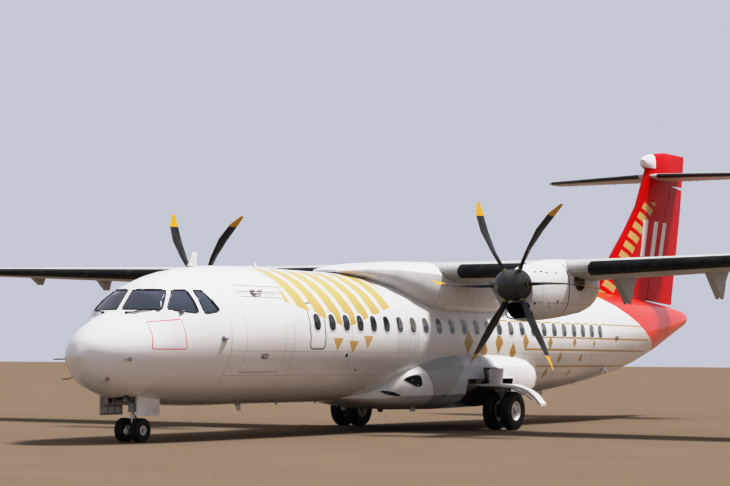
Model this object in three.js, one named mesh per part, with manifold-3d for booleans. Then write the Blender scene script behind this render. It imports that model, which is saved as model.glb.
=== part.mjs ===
// A high-wing twin turboprop airliner with a T-tail, parked on its landing gear.
// Millimetres. The nose points to -Y, the port side to +X and up is +Z. The ground is Z = 0.
import * as THREE from 'three';
import { mergeVertices } from 'three/addons/utils/BufferGeometryUtils.js';
import Module from 'manifold-3d';

const wasm = await Module();
wasm.setup();

// Driving dimensions of the whole aircraft.
const LENGTH = 27166;
const SPAN = 27050;
const HEIGHT = 7550;
const WHEELBASE = 10770;
const TRACK = 4100;
const PROPELLER_DIAMETER = 3930;
const ENGINE_SPACING = 8100;
const TAILPLANE_SPAN = 7310;
const FUSELAGE_HALF_WIDTH = 1432.5;
const FUSELAGE_ROOF_Z = 3432;
const FUSELAGE_AXIS_Z = 2005;
const FUSELAGE_KEEL_Z = 665;

// Clearances: a seat between two fixed solids, a running gap, and a pin in its bore.
const SEAT = 0.3;
const RUNNING_GAP = 6;
const PIN_GAP = 0.35;
const PIN_SIDES = 12;
const FLAT_ENOUGH = 0.05;
const MERGE_DISTANCE = 0.001;

// Places along the fuselage, counted from the tip of the nose.
const NOSE_Y = -LENGTH / 2;
const NOSE_GEAR_Y = NOSE_Y + 1613;
const MAIN_GEAR_Y = NOSE_GEAR_Y + WHEELBASE;
const PROPELLER_Y = NOSE_Y + 9133;
const PROPELLER_Z = 3135;
const ENGINE_X = ENGINE_SPACING / 2;

// Surface materials, one for each finish that the aircraft shows.
function paint(color, roughness, metalness) {
  return new THREE.MeshStandardMaterial({ color, roughness, metalness });
}
const WHITE = paint(0xe9e8e6, 0.32, 0);
const RED = paint(0xd3221c, 0.35, 0);
const BOOT = paint(0x1d1f22, 0.55, 0);
const WING_GREY = paint(0xa9a59f, 0.5, 0.2);
const GLASS = paint(0x24343b, 0.08, 0);
const SPINNER_GREY = paint(0x55565a, 0.45, 0);
const BLADE_BLACK = paint(0x2b2a29, 0.5, 0);
const GEAR_GREY = paint(0xb9bcbf, 0.45, 0.2);
const RUBBER = paint(0x17171a, 0.9, 0);
const WHEEL_ALLOY = paint(0xc4c4c2, 0.4, 0.6);
const ENGINE_METAL = paint(0x77797b, 0.5, 0.8);

// Solids from geometries, and back.

function signedVolume(positions, corners) {
  const [a, b, c] = [new THREE.Vector3(), new THREE.Vector3(), new THREE.Vector3()];
  let sum = 0;
  for (let i = 0; i < corners.length; i += 3) {
    [a, b, c].forEach((point, k) => point.fromArray(positions, corners[i + k] * 3));
    sum += a.dot(b.cross(c));
  }
  return sum;
}

// A closed geometry as a solid, with its faces turned outwards.
function solidOf(geometry) {
  const bare = geometry.clone();
  bare.deleteAttribute('normal');
  bare.deleteAttribute('uv');
  const merged = mergeVertices(bare, MERGE_DISTANCE);
  const vertProperties = merged.attributes.position.array;
  const triVerts = new Uint32Array(merged.index.array);
  if (signedVolume(vertProperties, triVerts) < 0) triVerts.reverse();
  return new wasm.Manifold(new wasm.Mesh({ numProp: 3, vertProperties, triVerts }));
}

function geometryOf(solid) {
  const mesh = solid.getMesh();
  const positions = new Float32Array(mesh.numVert * 3);
  for (let i = 0; i < mesh.numVert; i++) {
    positions.set(mesh.vertProperties.subarray(i * mesh.numProp, i * mesh.numProp + 3), i * 3);
  }
  const geometry = new THREE.BufferGeometry();
  geometry.setAttribute('position', new THREE.BufferAttribute(positions, 3));
  geometry.setIndex(new THREE.BufferAttribute(new Uint32Array(mesh.triVerts), 1));
  geometry.computeVertexNormals();
  return geometry;
}

function join(...solids) {
  return solids.reduce((a, b) => a.add(b));
}

function cut(solid, ...tools) {
  return tools.reduce((a, b) => a.subtract(b), solid);
}

// The largest body of a solid, without the slivers that a cut may leave beside it.
function mainBody(solid) {
  return solid.decompose().reduce((a, b) => (a.volume() > b.volume() ? a : b));
}

function mirrored(solid) {
  return solidOf(geometryOf(solid).applyMatrix4(new THREE.Matrix4().makeScale(-1, 1, 1)));
}

function box(x0, x1, y0, y1, z0, z1) {
  const geometry = new THREE.BoxGeometry(x1 - x0, y1 - y0, z1 - z0);
  geometry.translate((x0 + x1) / 2, (y0 + y1) / 2, (z0 + z1) / 2);
  return solidOf(geometry);
}

// A cylinder or cone between two points, its corners turned round it by the phase.
const ROD_SIDES = 10;
function rod(from, to, radius, endRadius = radius, sides = ROD_SIDES, phase = 0) {
  const a = new THREE.Vector3(...from);
  const b = new THREE.Vector3(...to);
  const along = b.clone().sub(a);
  const geometry = new THREE.CylinderGeometry(endRadius, radius, along.length(), sides, 1, false, phase);
  const turn = new THREE.Quaternion();
  turn.setFromUnitVectors(new THREE.Vector3(0, 1, 0), along.clone().normalize());
  geometry.applyQuaternion(turn);
  geometry.translate(...a.add(b).multiplyScalar(0.5).toArray());
  return solidOf(geometry);
}

// A round hole's cutter, whose flats keep the radius that its corners exceed. They face the
// corners of the pin in it.
function bore(from, to, radius) {
  const corner = radius / Math.cos(Math.PI / PIN_SIDES);
  return rod(from, to, corner, corner, PIN_SIDES, Math.PI / PIN_SIDES);
}

function pin(from, to, radius) {
  return rod(from, to, radius, radius, PIN_SIDES);
}

// A prism on an outline: drawn in 'xy' it rises along Z, in 'yz' it runs along X, in 'xz' along Y.
const PRISM_TURNS = {
  xy: [1, 0, 0, 0, 0, 1, 0, 0, 0, 0, 1, 0, 0, 0, 0, 1],
  yz: [0, 0, 1, 0, 1, 0, 0, 0, 0, 1, 0, 0, 0, 0, 0, 1],
  xz: [1, 0, 0, 0, 0, 0, 1, 0, 0, 1, 0, 0, 0, 0, 0, 1],
};

function prism(plane, outline, low, high) {
  const shape = new THREE.Shape(outline.map(([a, b]) => new THREE.Vector2(a, b)));
  const geometry = new THREE.ExtrudeGeometry(shape, { depth: high - low, bevelEnabled: false });
  geometry.translate(0, 0, low);
  return solidOf(geometry.applyMatrix4(new THREE.Matrix4().set(...PRISM_TURNS[plane])));
}

// A body turned about an axis along X from rows of [x, radius], its flats at those radii.
function turnedAboutX(profile, sides) {
  const corner = 1 / Math.cos(Math.PI / sides);
  const points = profile.map(([x, radius]) => new THREE.Vector2(radius * corner, x));
  const geometry = new THREE.LatheGeometry(points, sides);
  geometry.rotateY(Math.PI / sides);
  geometry.rotateZ(-Math.PI / 2);
  return solidOf(geometry);
}

// A skin over closed rings of equal length, with a cap at each end.
function loft(rings) {
  const count = rings[0].length;
  const positions = rings.flat(2);
  const index = [];
  for (let r = 0; r + 1 < rings.length; r++) {
    for (let i = 0; i < count; i++) {
      const a = r * count + i;
      const b = r * count + (i + 1) % count;
      index.push(a, b, a + count, b, b + count, a + count);
    }
  }
  for (const [ring, first] of [[rings[0], 0], [rings.at(-1), (rings.length - 1) * count]]) {
    const middle = [0, 1, 2].map((k) => ring.reduce((sum, p) => sum + p[k], 0) / count);
    const centre = positions.length / 3;
    positions.push(...middle);
    for (let i = 0; i < count; i++) {
      const pair = [first + i, first + (i + 1) % count];
      index.push(centre, ...(first ? pair : pair.reverse()));
    }
  }
  const geometry = new THREE.BufferGeometry();
  geometry.setAttribute('position', new THREE.Float32BufferAttribute(positions, 3));
  geometry.setIndex(index);
  return solidOf(geometry);
}

// A row of a table at a place between two of its rows, the first column being the place.
function rowAt(table, place) {
  const last = table.length - 1;
  const k = Math.min(last - 1, Math.max(0, table.findIndex((row) => row[0] > place) - 1));
  const above = place >= table[last][0] ? last - 1 : k;
  const [p, q] = [table[above], table[above + 1]];
  const share = (place - p[0]) / (q[0] - p[0]);
  return p.map((value, i) => value + (q[i] - value) * share);
}

// Fuselage.

// Columns: distance from the nose tip, half width, top, bottom, height of the widest point.
const FUSELAGE_STATIONS = [
  [0, 60, 1655, 1545, 1600],
  [80, 285, 1840, 1355, 1605],
  [250, 510, 2005, 1145, 1615],
  [550, 745, 2200, 970, 1640],
  [1000, 970, 2405, 830, 1700],
  [1150, 1030, 2455, 803, 1725],
  [1500, 1140, 2850, 750, 1790],
  [1800, 1205, 3010, 718, 1830],
  [2200, 1280, 3160, 690, 1880],
  [2700, 1340, 3275, 668, 1930],
  [3300, 1390, 3360, 655, 1970],
  [4000, 1422, 3410, 655, 2000],
  [4800, FUSELAGE_HALF_WIDTH, FUSELAGE_ROOF_Z, FUSELAGE_KEEL_Z, FUSELAGE_AXIS_Z],
  [15000, FUSELAGE_HALF_WIDTH, FUSELAGE_ROOF_Z, FUSELAGE_KEEL_Z, FUSELAGE_AXIS_Z],
  [16200, 1428, 3442, 680, 2060],
  [17300, 1412, 3447, 750, 2100],
  [18400, 1375, 3457, 850, 2150],
  [19500, 1318, 3475, 960, 2210],
  [20500, 1245, 3450, 1075, 2270],
  [21600, 1135, 3400, 1230, 2340],
  [22800, 980, 3335, 1465, 2430],
  [24000, 790, 3265, 1755, 2520],
  [25000, 610, 3195, 2055, 2610],
  [26000, 420, 3115, 2345, 2710],
  [26800, 250, 3025, 2570, 2785],
  [LENGTH, 110, 2935, 2690, 2810],
];
const FUSELAGE_SIDES = 28;
const SKIN = 100;

// The ring of the fuselage at a station, grown outwards by some millimetres.
function fuselageRing(station, grow = 0) {
  const [, halfWidth, top, bottom, waist] = rowAt(FUSELAGE_STATIONS, station);
  const ring = [];
  for (let i = 0; i < FUSELAGE_SIDES; i++) {
    const angle = (2 * Math.PI * i) / FUSELAGE_SIDES;
    const rise = (Math.sin(angle) > 0 ? top - waist : waist - bottom) + grow;
    ring.push([(halfWidth + grow) * Math.cos(angle), NOSE_Y + station, waist + rise * Math.sin(angle)]);
  }
  return ring;
}

function fuselagePart(from, to, grow = 0) {
  const between = FUSELAGE_STATIONS.map((row) => row[0]).filter((s) => s > from && s < to);
  return loft([from, ...between, to].map((station) => fuselageRing(station, grow)));
}

// Half the fuselage's width at a station and a height.
function fuselageHalfWidth(station, z) {
  const [, halfWidth, top, bottom, waist] = rowAt(FUSELAGE_STATIONS, station);
  const rise = z > waist ? (z - waist) / (top - waist) : (waist - z) / (waist - bottom);
  return halfWidth * Math.sqrt(1 - rise * rise);
}

// Sections between the production joints. Columns: name, from, to, material.
const SECTIONS = [
  ['radome', 0, 1000, WHITE],
  ['cockpit_section', 1000, 2900, WHITE],
  ['forward_fuselage', 2900, 9300, WHITE],
  ['centre_fuselage', 9300, 14600, WHITE],
  ['rear_fuselage', 14600, 21300, WHITE],
  ['tail_cone', 21300, LENGTH, RED],
];

// Windscreen and side windows of the cockpit, port side, as corners in front view and in side view.
// The two front panes are cut along Y and the four side panes along X.
const GLAZING_SILL_Z = 2440;
const GLAZING_TOP_Z = 2850;
const FRONT_PANE = [[45, 2462], [790, 2458], [598, 2848], [45, 2850]];
const FRONT_PANE_DEPTH = [1000, 1950];
// Columns: station and height of the four corners.
const SIDE_PANES = [
  [[1504, 2468], [2131, 2414], [2159, 2848], [1893, 2846]],
  [[2252, 2407], [2675, 2464], [2512, 2844], [2307, 2846]],
];
const SIDE_PANE_REACH = [600, 2000];
const PANE_RECESS = 30;
const GLAZING_THICKNESS = 40;
const GLAZING_SPAN = [1110, 2740];
const FAR = 2000;

function band(from, to, outer, inner) {
  const shell = cut(fuselagePart(from, to, outer), fuselagePart(from - 1, to + 1, inner));
  return shell.intersect(box(-FAR, FAR, -LENGTH, LENGTH, GLAZING_SILL_Z - 40, GLAZING_TOP_Z + 10));
}

function cockpitGlazing(gap) {
  const [from, to] = GLAZING_SPAN;
  return mainBody(band(from - gap, to + gap, gap - PANE_RECESS, -PANE_RECESS - GLAZING_THICKNESS - gap));
}

function windowCuts() {
  const [near, far] = FRONT_PANE_DEPTH.map((station) => NOSE_Y + station);
  const sides = SIDE_PANES.map((corners) =>
    prism('yz', corners.map(([station, z]) => [NOSE_Y + station, z]), ...SIDE_PANE_REACH));
  const port = join(prism('xz', FRONT_PANE, near, far), ...sides);
  return join(port, mirrored(port));
}

// Rooms behind the doors, across the whole fuselage. Columns: from, to, floor, ceiling.
const ROOMS = [
  [3130, 4740, 1310, 3100],
  [18880, 21130, 1330, 3100],
];

function room([from, to, floor, ceiling]) {
  const inside = fuselagePart(from - 1, to + 1, -SKIN);
  return inside.intersect(box(-FAR, FAR, NOSE_Y + from, NOSE_Y + to, floor, ceiling));
}

// Blade aerials on the centre line. Columns: station, root chord, tip chord, height, which is
// negative under the belly.
const AERIALS = [
  [3380, 260, 130, 270],
  [4950, 140, 90, -130],
  [18100, 140, 100, -120],
  [17400, 250, 130, 270],
];
const AERIAL_THICKNESS = 26;
const AERIAL_ROOT = 40;
const AERIAL_SWEEP = 25;

function aerial([station, root, tip, height]) {
  const [, , top, bottom] = rowAt(FUSELAGE_STATIONS, station);
  const skin = height > 0 ? top : bottom;
  const foot = skin - Math.sign(height) * AERIAL_ROOT;
  const [front, rear] = [NOSE_Y + station - root / 2, NOSE_Y + station + root / 2];
  const tipRear = rear + AERIAL_SWEEP;
  const outline = [[front, foot], [rear, foot], [tipRear, skin + height], [tipRear - tip, skin + height]];
  return prism('yz', outline, -AERIAL_THICKNESS / 2, AERIAL_THICKNESS / 2);
}

// Doors on the port side. Columns: name, from, to, sill, head, hinge edge.
const DOORS = [
  ['cargo_door', 3330, 4600, 1310, 2840, 'head'],
  ['passenger_door', 19560, 20330, 1330, 2980, 'sill'],
];
const DOOR_GAP = 8;
const DOOR_INNER_X = 400;
const HINGE = { radius: 22, pin: 11, length: 150, standOff: 14, ear: 60, overhang: 10 };

// The hinge line of a door, from end to end of a knuckle that reaches some way each side of its middle.
function hingeLine([, from, to, sill, head, edge], reach) {
  const z = edge === 'head' ? head + DOOR_GAP : sill - DOOR_GAP;
  const x = Math.max(fuselageHalfWidth(from, z), fuselageHalfWidth(to, z)) + HINGE.standOff;
  const middle = NOSE_Y + (from + to) / 2;
  return { x, z, middle, ends: [[x, middle - reach, z], [x, middle + reach, z]] };
}

// The heights of a strap that runs from the hinge line onto the door, or of one that runs off it.
function strapHeights(door, z, reach, towardsDoor) {
  const down = (door[5] === 'head') === towardsDoor;
  return down ? [z - reach, z] : [z, z + reach];
}

function doorwayCut([, from, to, sill, head]) {
  return box(DOOR_INNER_X, FAR, NOSE_Y + from, NOSE_Y + to, sill, head);
}

// The door is a piece of the skin with the middle knuckle of its hinge.
function doorLeaf(door) {
  const [, from, to, sill, head] = door;
  const shell = cut(fuselagePart(from - 200, to + 200), fuselagePart(from - 201, to + 201, -SKIN));
  const opening = box(DOOR_INNER_X, FAR, NOSE_Y + from + DOOR_GAP, NOSE_Y + to - DOOR_GAP,
    sill + DOOR_GAP, head - DOOR_GAP);
  const half = HINGE.length / 2;
  const { x, z, middle, ends } = hingeLine(door, half);
  const strap = box(x - 60, x + HINGE.radius * 0.6, middle - half, middle + half,
    ...strapHeights(door, z, 90, true));
  const leaf = join(shell.intersect(opening), strap, pin(...ends, HINGE.radius));
  return cut(leaf, bore(...hingeLine(door, half + HINGE.overhang).ends, HINGE.pin + PIN_GAP));
}

// The frame has the two outer knuckles and the pin through all three.
function doorFrameHinge(door) {
  const half = HINGE.length / 2 + RUNNING_GAP;
  const { x, z, middle, ends } = hingeLine(door, half + HINGE.overhang);
  const ears = [-1, 1].map((side) => {
    const [y0, y1] = [half, half + HINGE.ear].map((d) => middle + side * d).sort((a, b) => a - b);
    const ear = box(x - 80, x + HINGE.pin, y0, y1, ...strapHeights(door, z, 70, false));
    return join(ear, pin([x, y0, z], [x, y1, z], HINGE.radius));
  });
  return join(...ears, pin(...ends, HINGE.pin));
}

// The room that the door's knuckle and strap need as they turn.
function doorSweepCut(door) {
  const half = HINGE.length / 2 + RUNNING_GAP;
  const { x, z, middle, ends } = hingeLine(door, half);
  return join(
    bore(...ends, HINGE.radius + RUNNING_GAP),
    box(x - 70, x + 60, middle - half, middle + half, ...strapHeights(door, z, 110, true)),
  );
}

// Wing.

const WING = {
  rootLeadingEdgeY: -2900,
  tipLeadingEdgeY: -2520,
  rootChord: 2570,
  tipChord: 1590,
  rootZ: 3520,
  dihedral: 1.8,
  incidence: 1.5,
  joint: 4650,
};
const TIP_CAP = 240;
const WING_TIP_X = SPAN / 2 - TIP_CAP;
const dihedralSlope = Math.tan(THREE.MathUtils.degToRad(WING.dihedral));
const wingRise = (x) => Math.max(0, Math.abs(x) - WING.joint) * dihedralSlope;

// Columns: X, leading edge Y, chord, thickness share, height of the leading edge.
const WING_STATIONS = [
  [0, WING.rootLeadingEdgeY, WING.rootChord, 0.18, WING.rootZ],
  [WING.joint, WING.rootLeadingEdgeY, WING.rootChord, 0.18, WING.rootZ],
  [WING_TIP_X, WING.tipLeadingEdgeY, WING.tipChord, 0.13, WING.rootZ + wingRise(WING_TIP_X)],
  [WING_TIP_X + 150, WING.tipLeadingEdgeY + 70, 1430, 0.115, WING.rootZ + wingRise(SPAN / 2) - 4],
  [SPAN / 2, WING.tipLeadingEdgeY + 260, 1130, 0.05, WING.rootZ + wingRise(SPAN / 2) - 12],
];

// Chord shares of the points on one side of a section, from the leading edge back.
const SECTION_SHARES = [0, 0.01, 0.05, 0.14, 0.3, 0.52, 0.74, 1];

// Half thickness of a section, as a share of its chord, by the usual four-digit formula.
function halfThickness(share, thickness) {
  const t = 5 * thickness;
  return t * (0.2969 * Math.sqrt(share) - 0.126 * share - 0.3516 * share ** 2
    + 0.2843 * share ** 3 - 0.0986 * share ** 4);
}

const CAMBER = 0.018;
const camberAt = (share) => CAMBER * 4 * share * (1 - share);

// A section as a closed list of [behind the leading edge, above it].
function aerofoil(chord, thickness, incidence = 0, camber = 1) {
  const tilt = Math.tan(THREE.MathUtils.degToRad(incidence));
  const side = (share, sign) => {
    const z = camber * camberAt(share) + sign * Math.max(halfThickness(share, thickness), 0.0025);
    return [share * chord, (z - share * tilt) * chord];
  };
  const upper = SECTION_SHARES.slice(1).map((share) => side(share, 1));
  const lower = SECTION_SHARES.slice(1).map((share) => side(share, -1)).reverse();
  return [[0, 0], ...upper, ...lower];
}

function wingRing(x) {
  const [, leadingEdge, chord, thickness, z] = rowAt(WING_STATIONS, Math.abs(x));
  return aerofoil(chord, thickness, WING.incidence).map(([back, up]) => [x, leadingEdge + back, z + up]);
}

function wingLoft(from, to) {
  const between = WING_STATIONS.map((row) => row[0]).filter((x) => x > from && x < to);
  return loft([from, ...between, to].map(wingRing));
}

// A ring of the wing grown all round, for cutting what the wing passes through.
function wingCutter(from, to, grow) {
  const ring = (x) => {
    const [, leadingEdge, chord, thickness, z] = rowAt(WING_STATIONS, Math.abs(x));
    const bigger = 1 + (2 * grow) / (chord * thickness * 0.5);
    const middle = chord * 0.4;
    return aerofoil(chord, thickness, WING.incidence)
      .map(([back, up]) => [x, leadingEdge + middle + (back - middle) * bigger, z + 20 + (up - 20) * bigger]);
  };
  return loft([ring(from), ring(to)]);
}

const leadingEdgeAt = (x) => rowAt(WING_STATIONS, Math.abs(x))[1];
const chordAt = (x) => rowAt(WING_STATIONS, Math.abs(x))[2];

// The height of the wing's upper or lower surface at a share of its chord.
function wingSurface(x, share, sign) {
  const [, , chord, thickness, z] = rowAt(WING_STATIONS, Math.abs(x));
  const tilt = Math.tan(THREE.MathUtils.degToRad(WING.incidence));
  return z + chord * (camberAt(share) + sign * halfThickness(share, thickness) - share * tilt);
}

// Rubber de-icing boots on the leading edges. Columns: name, from, to.
const BOOTS = [
  ['boot_inner', 1790, 3420],
  ['boot_outer', 4970, 13190],
];
const BOOT_SHARE = 0.075;

function bootRegion(from, to, gap) {
  const back = (x) => leadingEdgeAt(x) + chordAt(x) * BOOT_SHARE + gap;
  const outline = [[from - gap, -4000], [to + gap, -4000], [to + gap, back(to)], [from - gap, back(from)]];
  return prism('xy', outline, 3000, 4500);
}

// Flaps hang on arms from hinges under the wing. Columns: name, from, to, bracket places.
const FLAPS = [
  ['flap_inner', 1570, 3470, [2060, 3140]],
  ['flap_outer', 4700, 9150, [5130, 7310]],
];
const FLAP_SHARE = 0.72;
const FLAP_BRACKET = {
  width: 150, depth: 590, length: 830, toe: 190, heel: 130, hingeBack: 185, hingeUp: 80,
};
const flapLineY = (x) => leadingEdgeAt(x) + chordAt(x) * FLAP_SHARE;

function behindLine(from, to, line) {
  return prism('xy', [[from, line(from)], [to, line(to)], [to, 1500], [from, 1500]], 3000, 4500);
}

function flapHinge(x) {
  const { depth, hingeBack, hingeUp } = FLAP_BRACKET;
  return { y: flapLineY(x) - hingeBack, z: wingSurface(x, FLAP_SHARE, -1) - depth + hingeUp };
}

// The hinge line of a flap runs through the hinges at its two brackets.
function flapAxisPoint(x, brackets) {
  const [a, b] = brackets.map(flapHinge);
  const share = (x - brackets[0]) / (brackets[1] - brackets[0]);
  return [x, a.y + (b.y - a.y) * share, a.z + (b.z - a.z) * share];
}

const ARM_WIDTH = 60;
const ARM_BOSS = 42;
const FLAP_PIN = 18;

// A fairing under the wing that ends in two ears, with the pin across them.
function flapBracket(x, brackets) {
  const { width, depth, length, toe, heel, hingeBack } = FLAP_BRACKET;
  const y = flapLineY(x);
  const z = wingSurface(x, FLAP_SHARE, -1);
  const front = wingSurface(x, 0.4, -1);
  const outline = [[y - length, front + 40], [y - toe, z - depth], [y - heel, z - depth],
    [y - 12, z - depth / 2], [y - 12, z + 30]];
  const half = width / 2;
  const plate = prism('yz', outline, x - half, x + half);
  const slot = ARM_WIDTH / 2 + RUNNING_GAP;
  const slotFront = y - hingeBack - ARM_BOSS - RUNNING_GAP;
  const slotBox = box(x - slot, x + slot, slotFront, y + 10, z - depth - 10, z + 200);
  const hingePin = pin(flapAxisPoint(x - half, brackets), flapAxisPoint(x + half, brackets), FLAP_PIN);
  return join(cut(plate, slotBox), hingePin);
}

// The arm is cranked, so that it runs back from the hinge under the flap before it meets it.
function flapArm(x, brackets) {
  const y = flapLineY(x);
  const lower = wingSurface(x, FLAP_SHARE + 0.04, -1);
  const [, hingeY, hingeZ] = flapAxisPoint(x, brackets);
  const outline = [[hingeY - 30, hingeZ + 10], [hingeY + 25, hingeZ - 25], [y + 330, lower + 60],
    [y + 60, lower + 60]];
  const half = ARM_WIDTH / 2;
  const plate = prism('yz', outline, x - half, x + half);
  const across = (reach) => [-reach, reach].map((d) => flapAxisPoint(x + d, brackets));
  return cut(join(plate, pin(...across(half), ARM_BOSS)), bore(...across(half + 9), FLAP_PIN + PIN_GAP));
}

// A surface that turns in its own thickness: rudder, elevator or aileron.
// The nose is a cone about the hinge line, and ears from the fixed part hold it on pins.
const NOSE_CLEARANCE = 8;
const NOSE_SIDES = 14;
const NOSE_SHARE = 0.96;
const COVE_LIP = 40;
const EAR_WIDTH = 60;
const EAR_PIN = 11;

function pointOn(a, b, share) {
  return a.map((value, i) => value + (b[i] - value) * share);
}

function hingedSurface({ body, region, coveRegion, start, end, radii, stations, forward, across }) {
  const nose = rod(start, end, radii[0], radii[1], NOSE_SIDES);
  const cove = rod(pointOn(start, end, -0.01), pointOn(start, end, 1.01),
    radii[0] * 1.04 + NOSE_CLEARANCE, radii[1] * 1.04 + NOSE_CLEARANCE, NOSE_SIDES);
  // The nose is a cone round the hinge line, and the cove in the fixed part clears it.
  let moving = join(body.intersect(region), nose);
  let fixed = cut(body, coveRegion, cove);
  const a = new THREE.Vector3(...start);
  const axis = new THREE.Vector3(...end).sub(a).normalize();
  const ahead = new THREE.Vector3(...forward);
  ahead.addScaledVector(axis, -ahead.dot(axis)).normalize();
  const up = new THREE.Vector3(...across);
  for (const share of stations) {
    const centre = new THREE.Vector3(...pointOn(start, end, share));
    const radius = radii[0] + (radii[1] - radii[0]) * share;
    const block = (width, back, front, tall) => {
      const geometry = new THREE.BoxGeometry(width, front + back, tall * 2);
      geometry.translate(0, (front - back) / 2, 0);
      const side = new THREE.Vector3().crossVectors(ahead, up);
      geometry.applyMatrix4(new THREE.Matrix4().makeBasis(side, ahead, up).setPosition(centre));
      return solidOf(geometry);
    };
    const pinEnds = (half) => [-half, half].map((d) => centre.clone().addScaledVector(axis, d).toArray());
    const slot = block(EAR_WIDTH + 2 * RUNNING_GAP, 2.4 * EAR_PIN + 20, radius + 60, radius + 200);
    const ear = join(block(EAR_WIDTH, 0, radius + 120, EAR_PIN * 1.4),
      pin(...pinEnds(EAR_WIDTH / 2), 2 * EAR_PIN));
    moving = join(cut(moving, slot), pin(...pinEnds(EAR_WIDTH / 2 + 40), EAR_PIN));
    fixed = join(fixed, cut(ear, bore(...pinEnds(EAR_WIDTH), EAR_PIN + PIN_GAP)));
  }
  return { moving, fixed };
}

const AILERON = { from: 9230, to: 13080, share: 0.74 };
// Fixed fairings over the aileron's hinges and rod. Columns: X, depth.
const AILERON_FAIRINGS = [[9350, 280], [11500, 200]];

function aileronFairing([x, depth]) {
  const y = leadingEdgeAt(x) + chordAt(x) * AILERON.share;
  const z = wingSurface(x, AILERON.share - 0.05, -1);
  const front = wingSurface(x, 0.4, -1);
  const outline = [[y - 640, front + 30], [y - 300, z - depth], [y - 220, z - depth], [y - 110, z + 20]];
  return prism('yz', outline, x - 60, x + 60);
}

function aileronHingeLine() {
  const at = (x) => {
    const share = AILERON.share;
    const top = wingSurface(x, share, 1);
    const bottom = wingSurface(x, share, -1);
    const point = [x, leadingEdgeAt(x) + chordAt(x) * share, (top + bottom) / 2];
    return { point, radius: (top - bottom) / 2 };
  };
  return [at(AILERON.from + RUNNING_GAP), at(AILERON.to - RUNNING_GAP)];
}

// The port half of the wing as its separate solids.
function outerWing() {
  const body = wingLoft(WING.joint + SEAT, SPAN / 2);
  const [, flapFrom, flapTo, brackets] = FLAPS[1];
  const [, bootFrom, bootTo] = BOOTS[1];
  const flap = join(
    mainBody(body.intersect(behindLine(flapFrom, flapTo, (x) => flapLineY(x) + RUNNING_GAP))),
    ...brackets.map((x) => flapArm(x, brackets)),
  );
  const [root, tip] = aileronHingeLine();
  const line = (offset) => (x) => leadingEdgeAt(x) + chordAt(x) * AILERON.share + offset;
  const aileron = hingedSurface({
    body,
    region: behindLine(AILERON.from + RUNNING_GAP, AILERON.to - RUNNING_GAP, line(0)),
    coveRegion: behindLine(AILERON.from, AILERON.to, line(-COVE_LIP)),
    start: root.point,
    end: tip.point,
    radii: [root.radius * NOSE_SHARE, tip.radius * NOSE_SHARE],
    stations: [0.12, 0.88],
    forward: [0, -1, 0],
    across: [0, 0, 1],
  });
  let fixed = cut(aileron.fixed, behindLine(WING.joint - 5, flapTo + 20, flapLineY));
  fixed = join(fixed, ...brackets.map((x) => flapBracket(x, brackets)));
  fixed = join(fixed, ...AILERON_FAIRINGS.map(aileronFairing));
  const boot = body.intersect(bootRegion(bootFrom, bootTo, 0));
  return {
    wing: cut(fixed, bootRegion(bootFrom, bootTo, SEAT)),
    boot,
    flap,
    aileron: aileron.moving,
  };
}

function innerWing() {
  const body = loft([-WING.joint, WING.joint].map(wingRing));
  const [, flapFrom, flapTo, brackets] = FLAPS[0];
  const [, bootFrom, bootTo] = BOOTS[0];
  const flap = join(
    mainBody(body.intersect(behindLine(flapFrom, flapTo, (x) => flapLineY(x) + RUNNING_GAP))),
    ...brackets.map((x) => flapArm(x, brackets)),
  );
  const port = cut(body, bootRegion(bootFrom, bootTo, SEAT),
    behindLine(flapFrom - 20, flapTo + 20, flapLineY),
    box(WING.joint - 60, WING.joint + 10, flapLineY(WING.joint), 1500, 3000, 4500));
  const half = join(port.intersect(box(0, 6000, -9000, 9000, 0, 9000)),
    ...brackets.map((x) => flapBracket(x, brackets)));
  return {
    wing: join(half, mirrored(half)),
    boot: body.intersect(bootRegion(bootFrom, bootTo, 0)),
    flap,
  };
}

// The fairing over the wing's centre section. Columns: Y, half width, top, lower edge.
const WING_FAIRING_STATIONS = [
  [-5500, 300, 3490, 3430],
  [-4900, 720, 3580, 3330],
  [-4200, 1080, 3665, 3120],
  [-3600, 1330, 3725, 2790],
  [-3050, 1465, 3765, 2560],
  [-2500, 1505, 3785, 2490],
  [-600, 1500, 3785, 2490],
  [300, 1445, 3735, 2560],
  [1200, 1190, 3640, 2800],
  [2100, 700, 3540, 3130],
  [2700, 300, 3490, 3390],
];
const FAIRING_SIDES = 20;
const FAIRING_SQUARENESS = 0.62;

function roundedRing(y, halfWidth, top, bottom, squareness, sides = FAIRING_SIDES) {
  const middle = (top + bottom) / 2;
  const power = (value) => Math.sign(value) * Math.abs(value) ** squareness;
  const ring = [];
  for (let i = 0; i < sides; i++) {
    const angle = (2 * Math.PI * i) / sides;
    ring.push([halfWidth * power(Math.cos(angle)), y, middle + (top - middle) * power(Math.sin(angle))]);
  }
  return ring;
}

function wingFairing() {
  const body = loft(WING_FAIRING_STATIONS.map((row) => roundedRing(...row, FAIRING_SQUARENESS)));
  // Behind the flap line the fairing narrows, so that the flaps clear it.
  const rear = [flapLineY(0) - 10, 4000, 2000, 4500];
  const flapRoom = [-1, 1].map((side) => box(...[1510 * side, 1600 * side].sort((a, b) => a - b), ...rear));
  return mainBody(cut(body, fuselagePart(6000, 19000, SEAT), wingCutter(-2000, 2000, SEAT), ...flapRoom));
}

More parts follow.
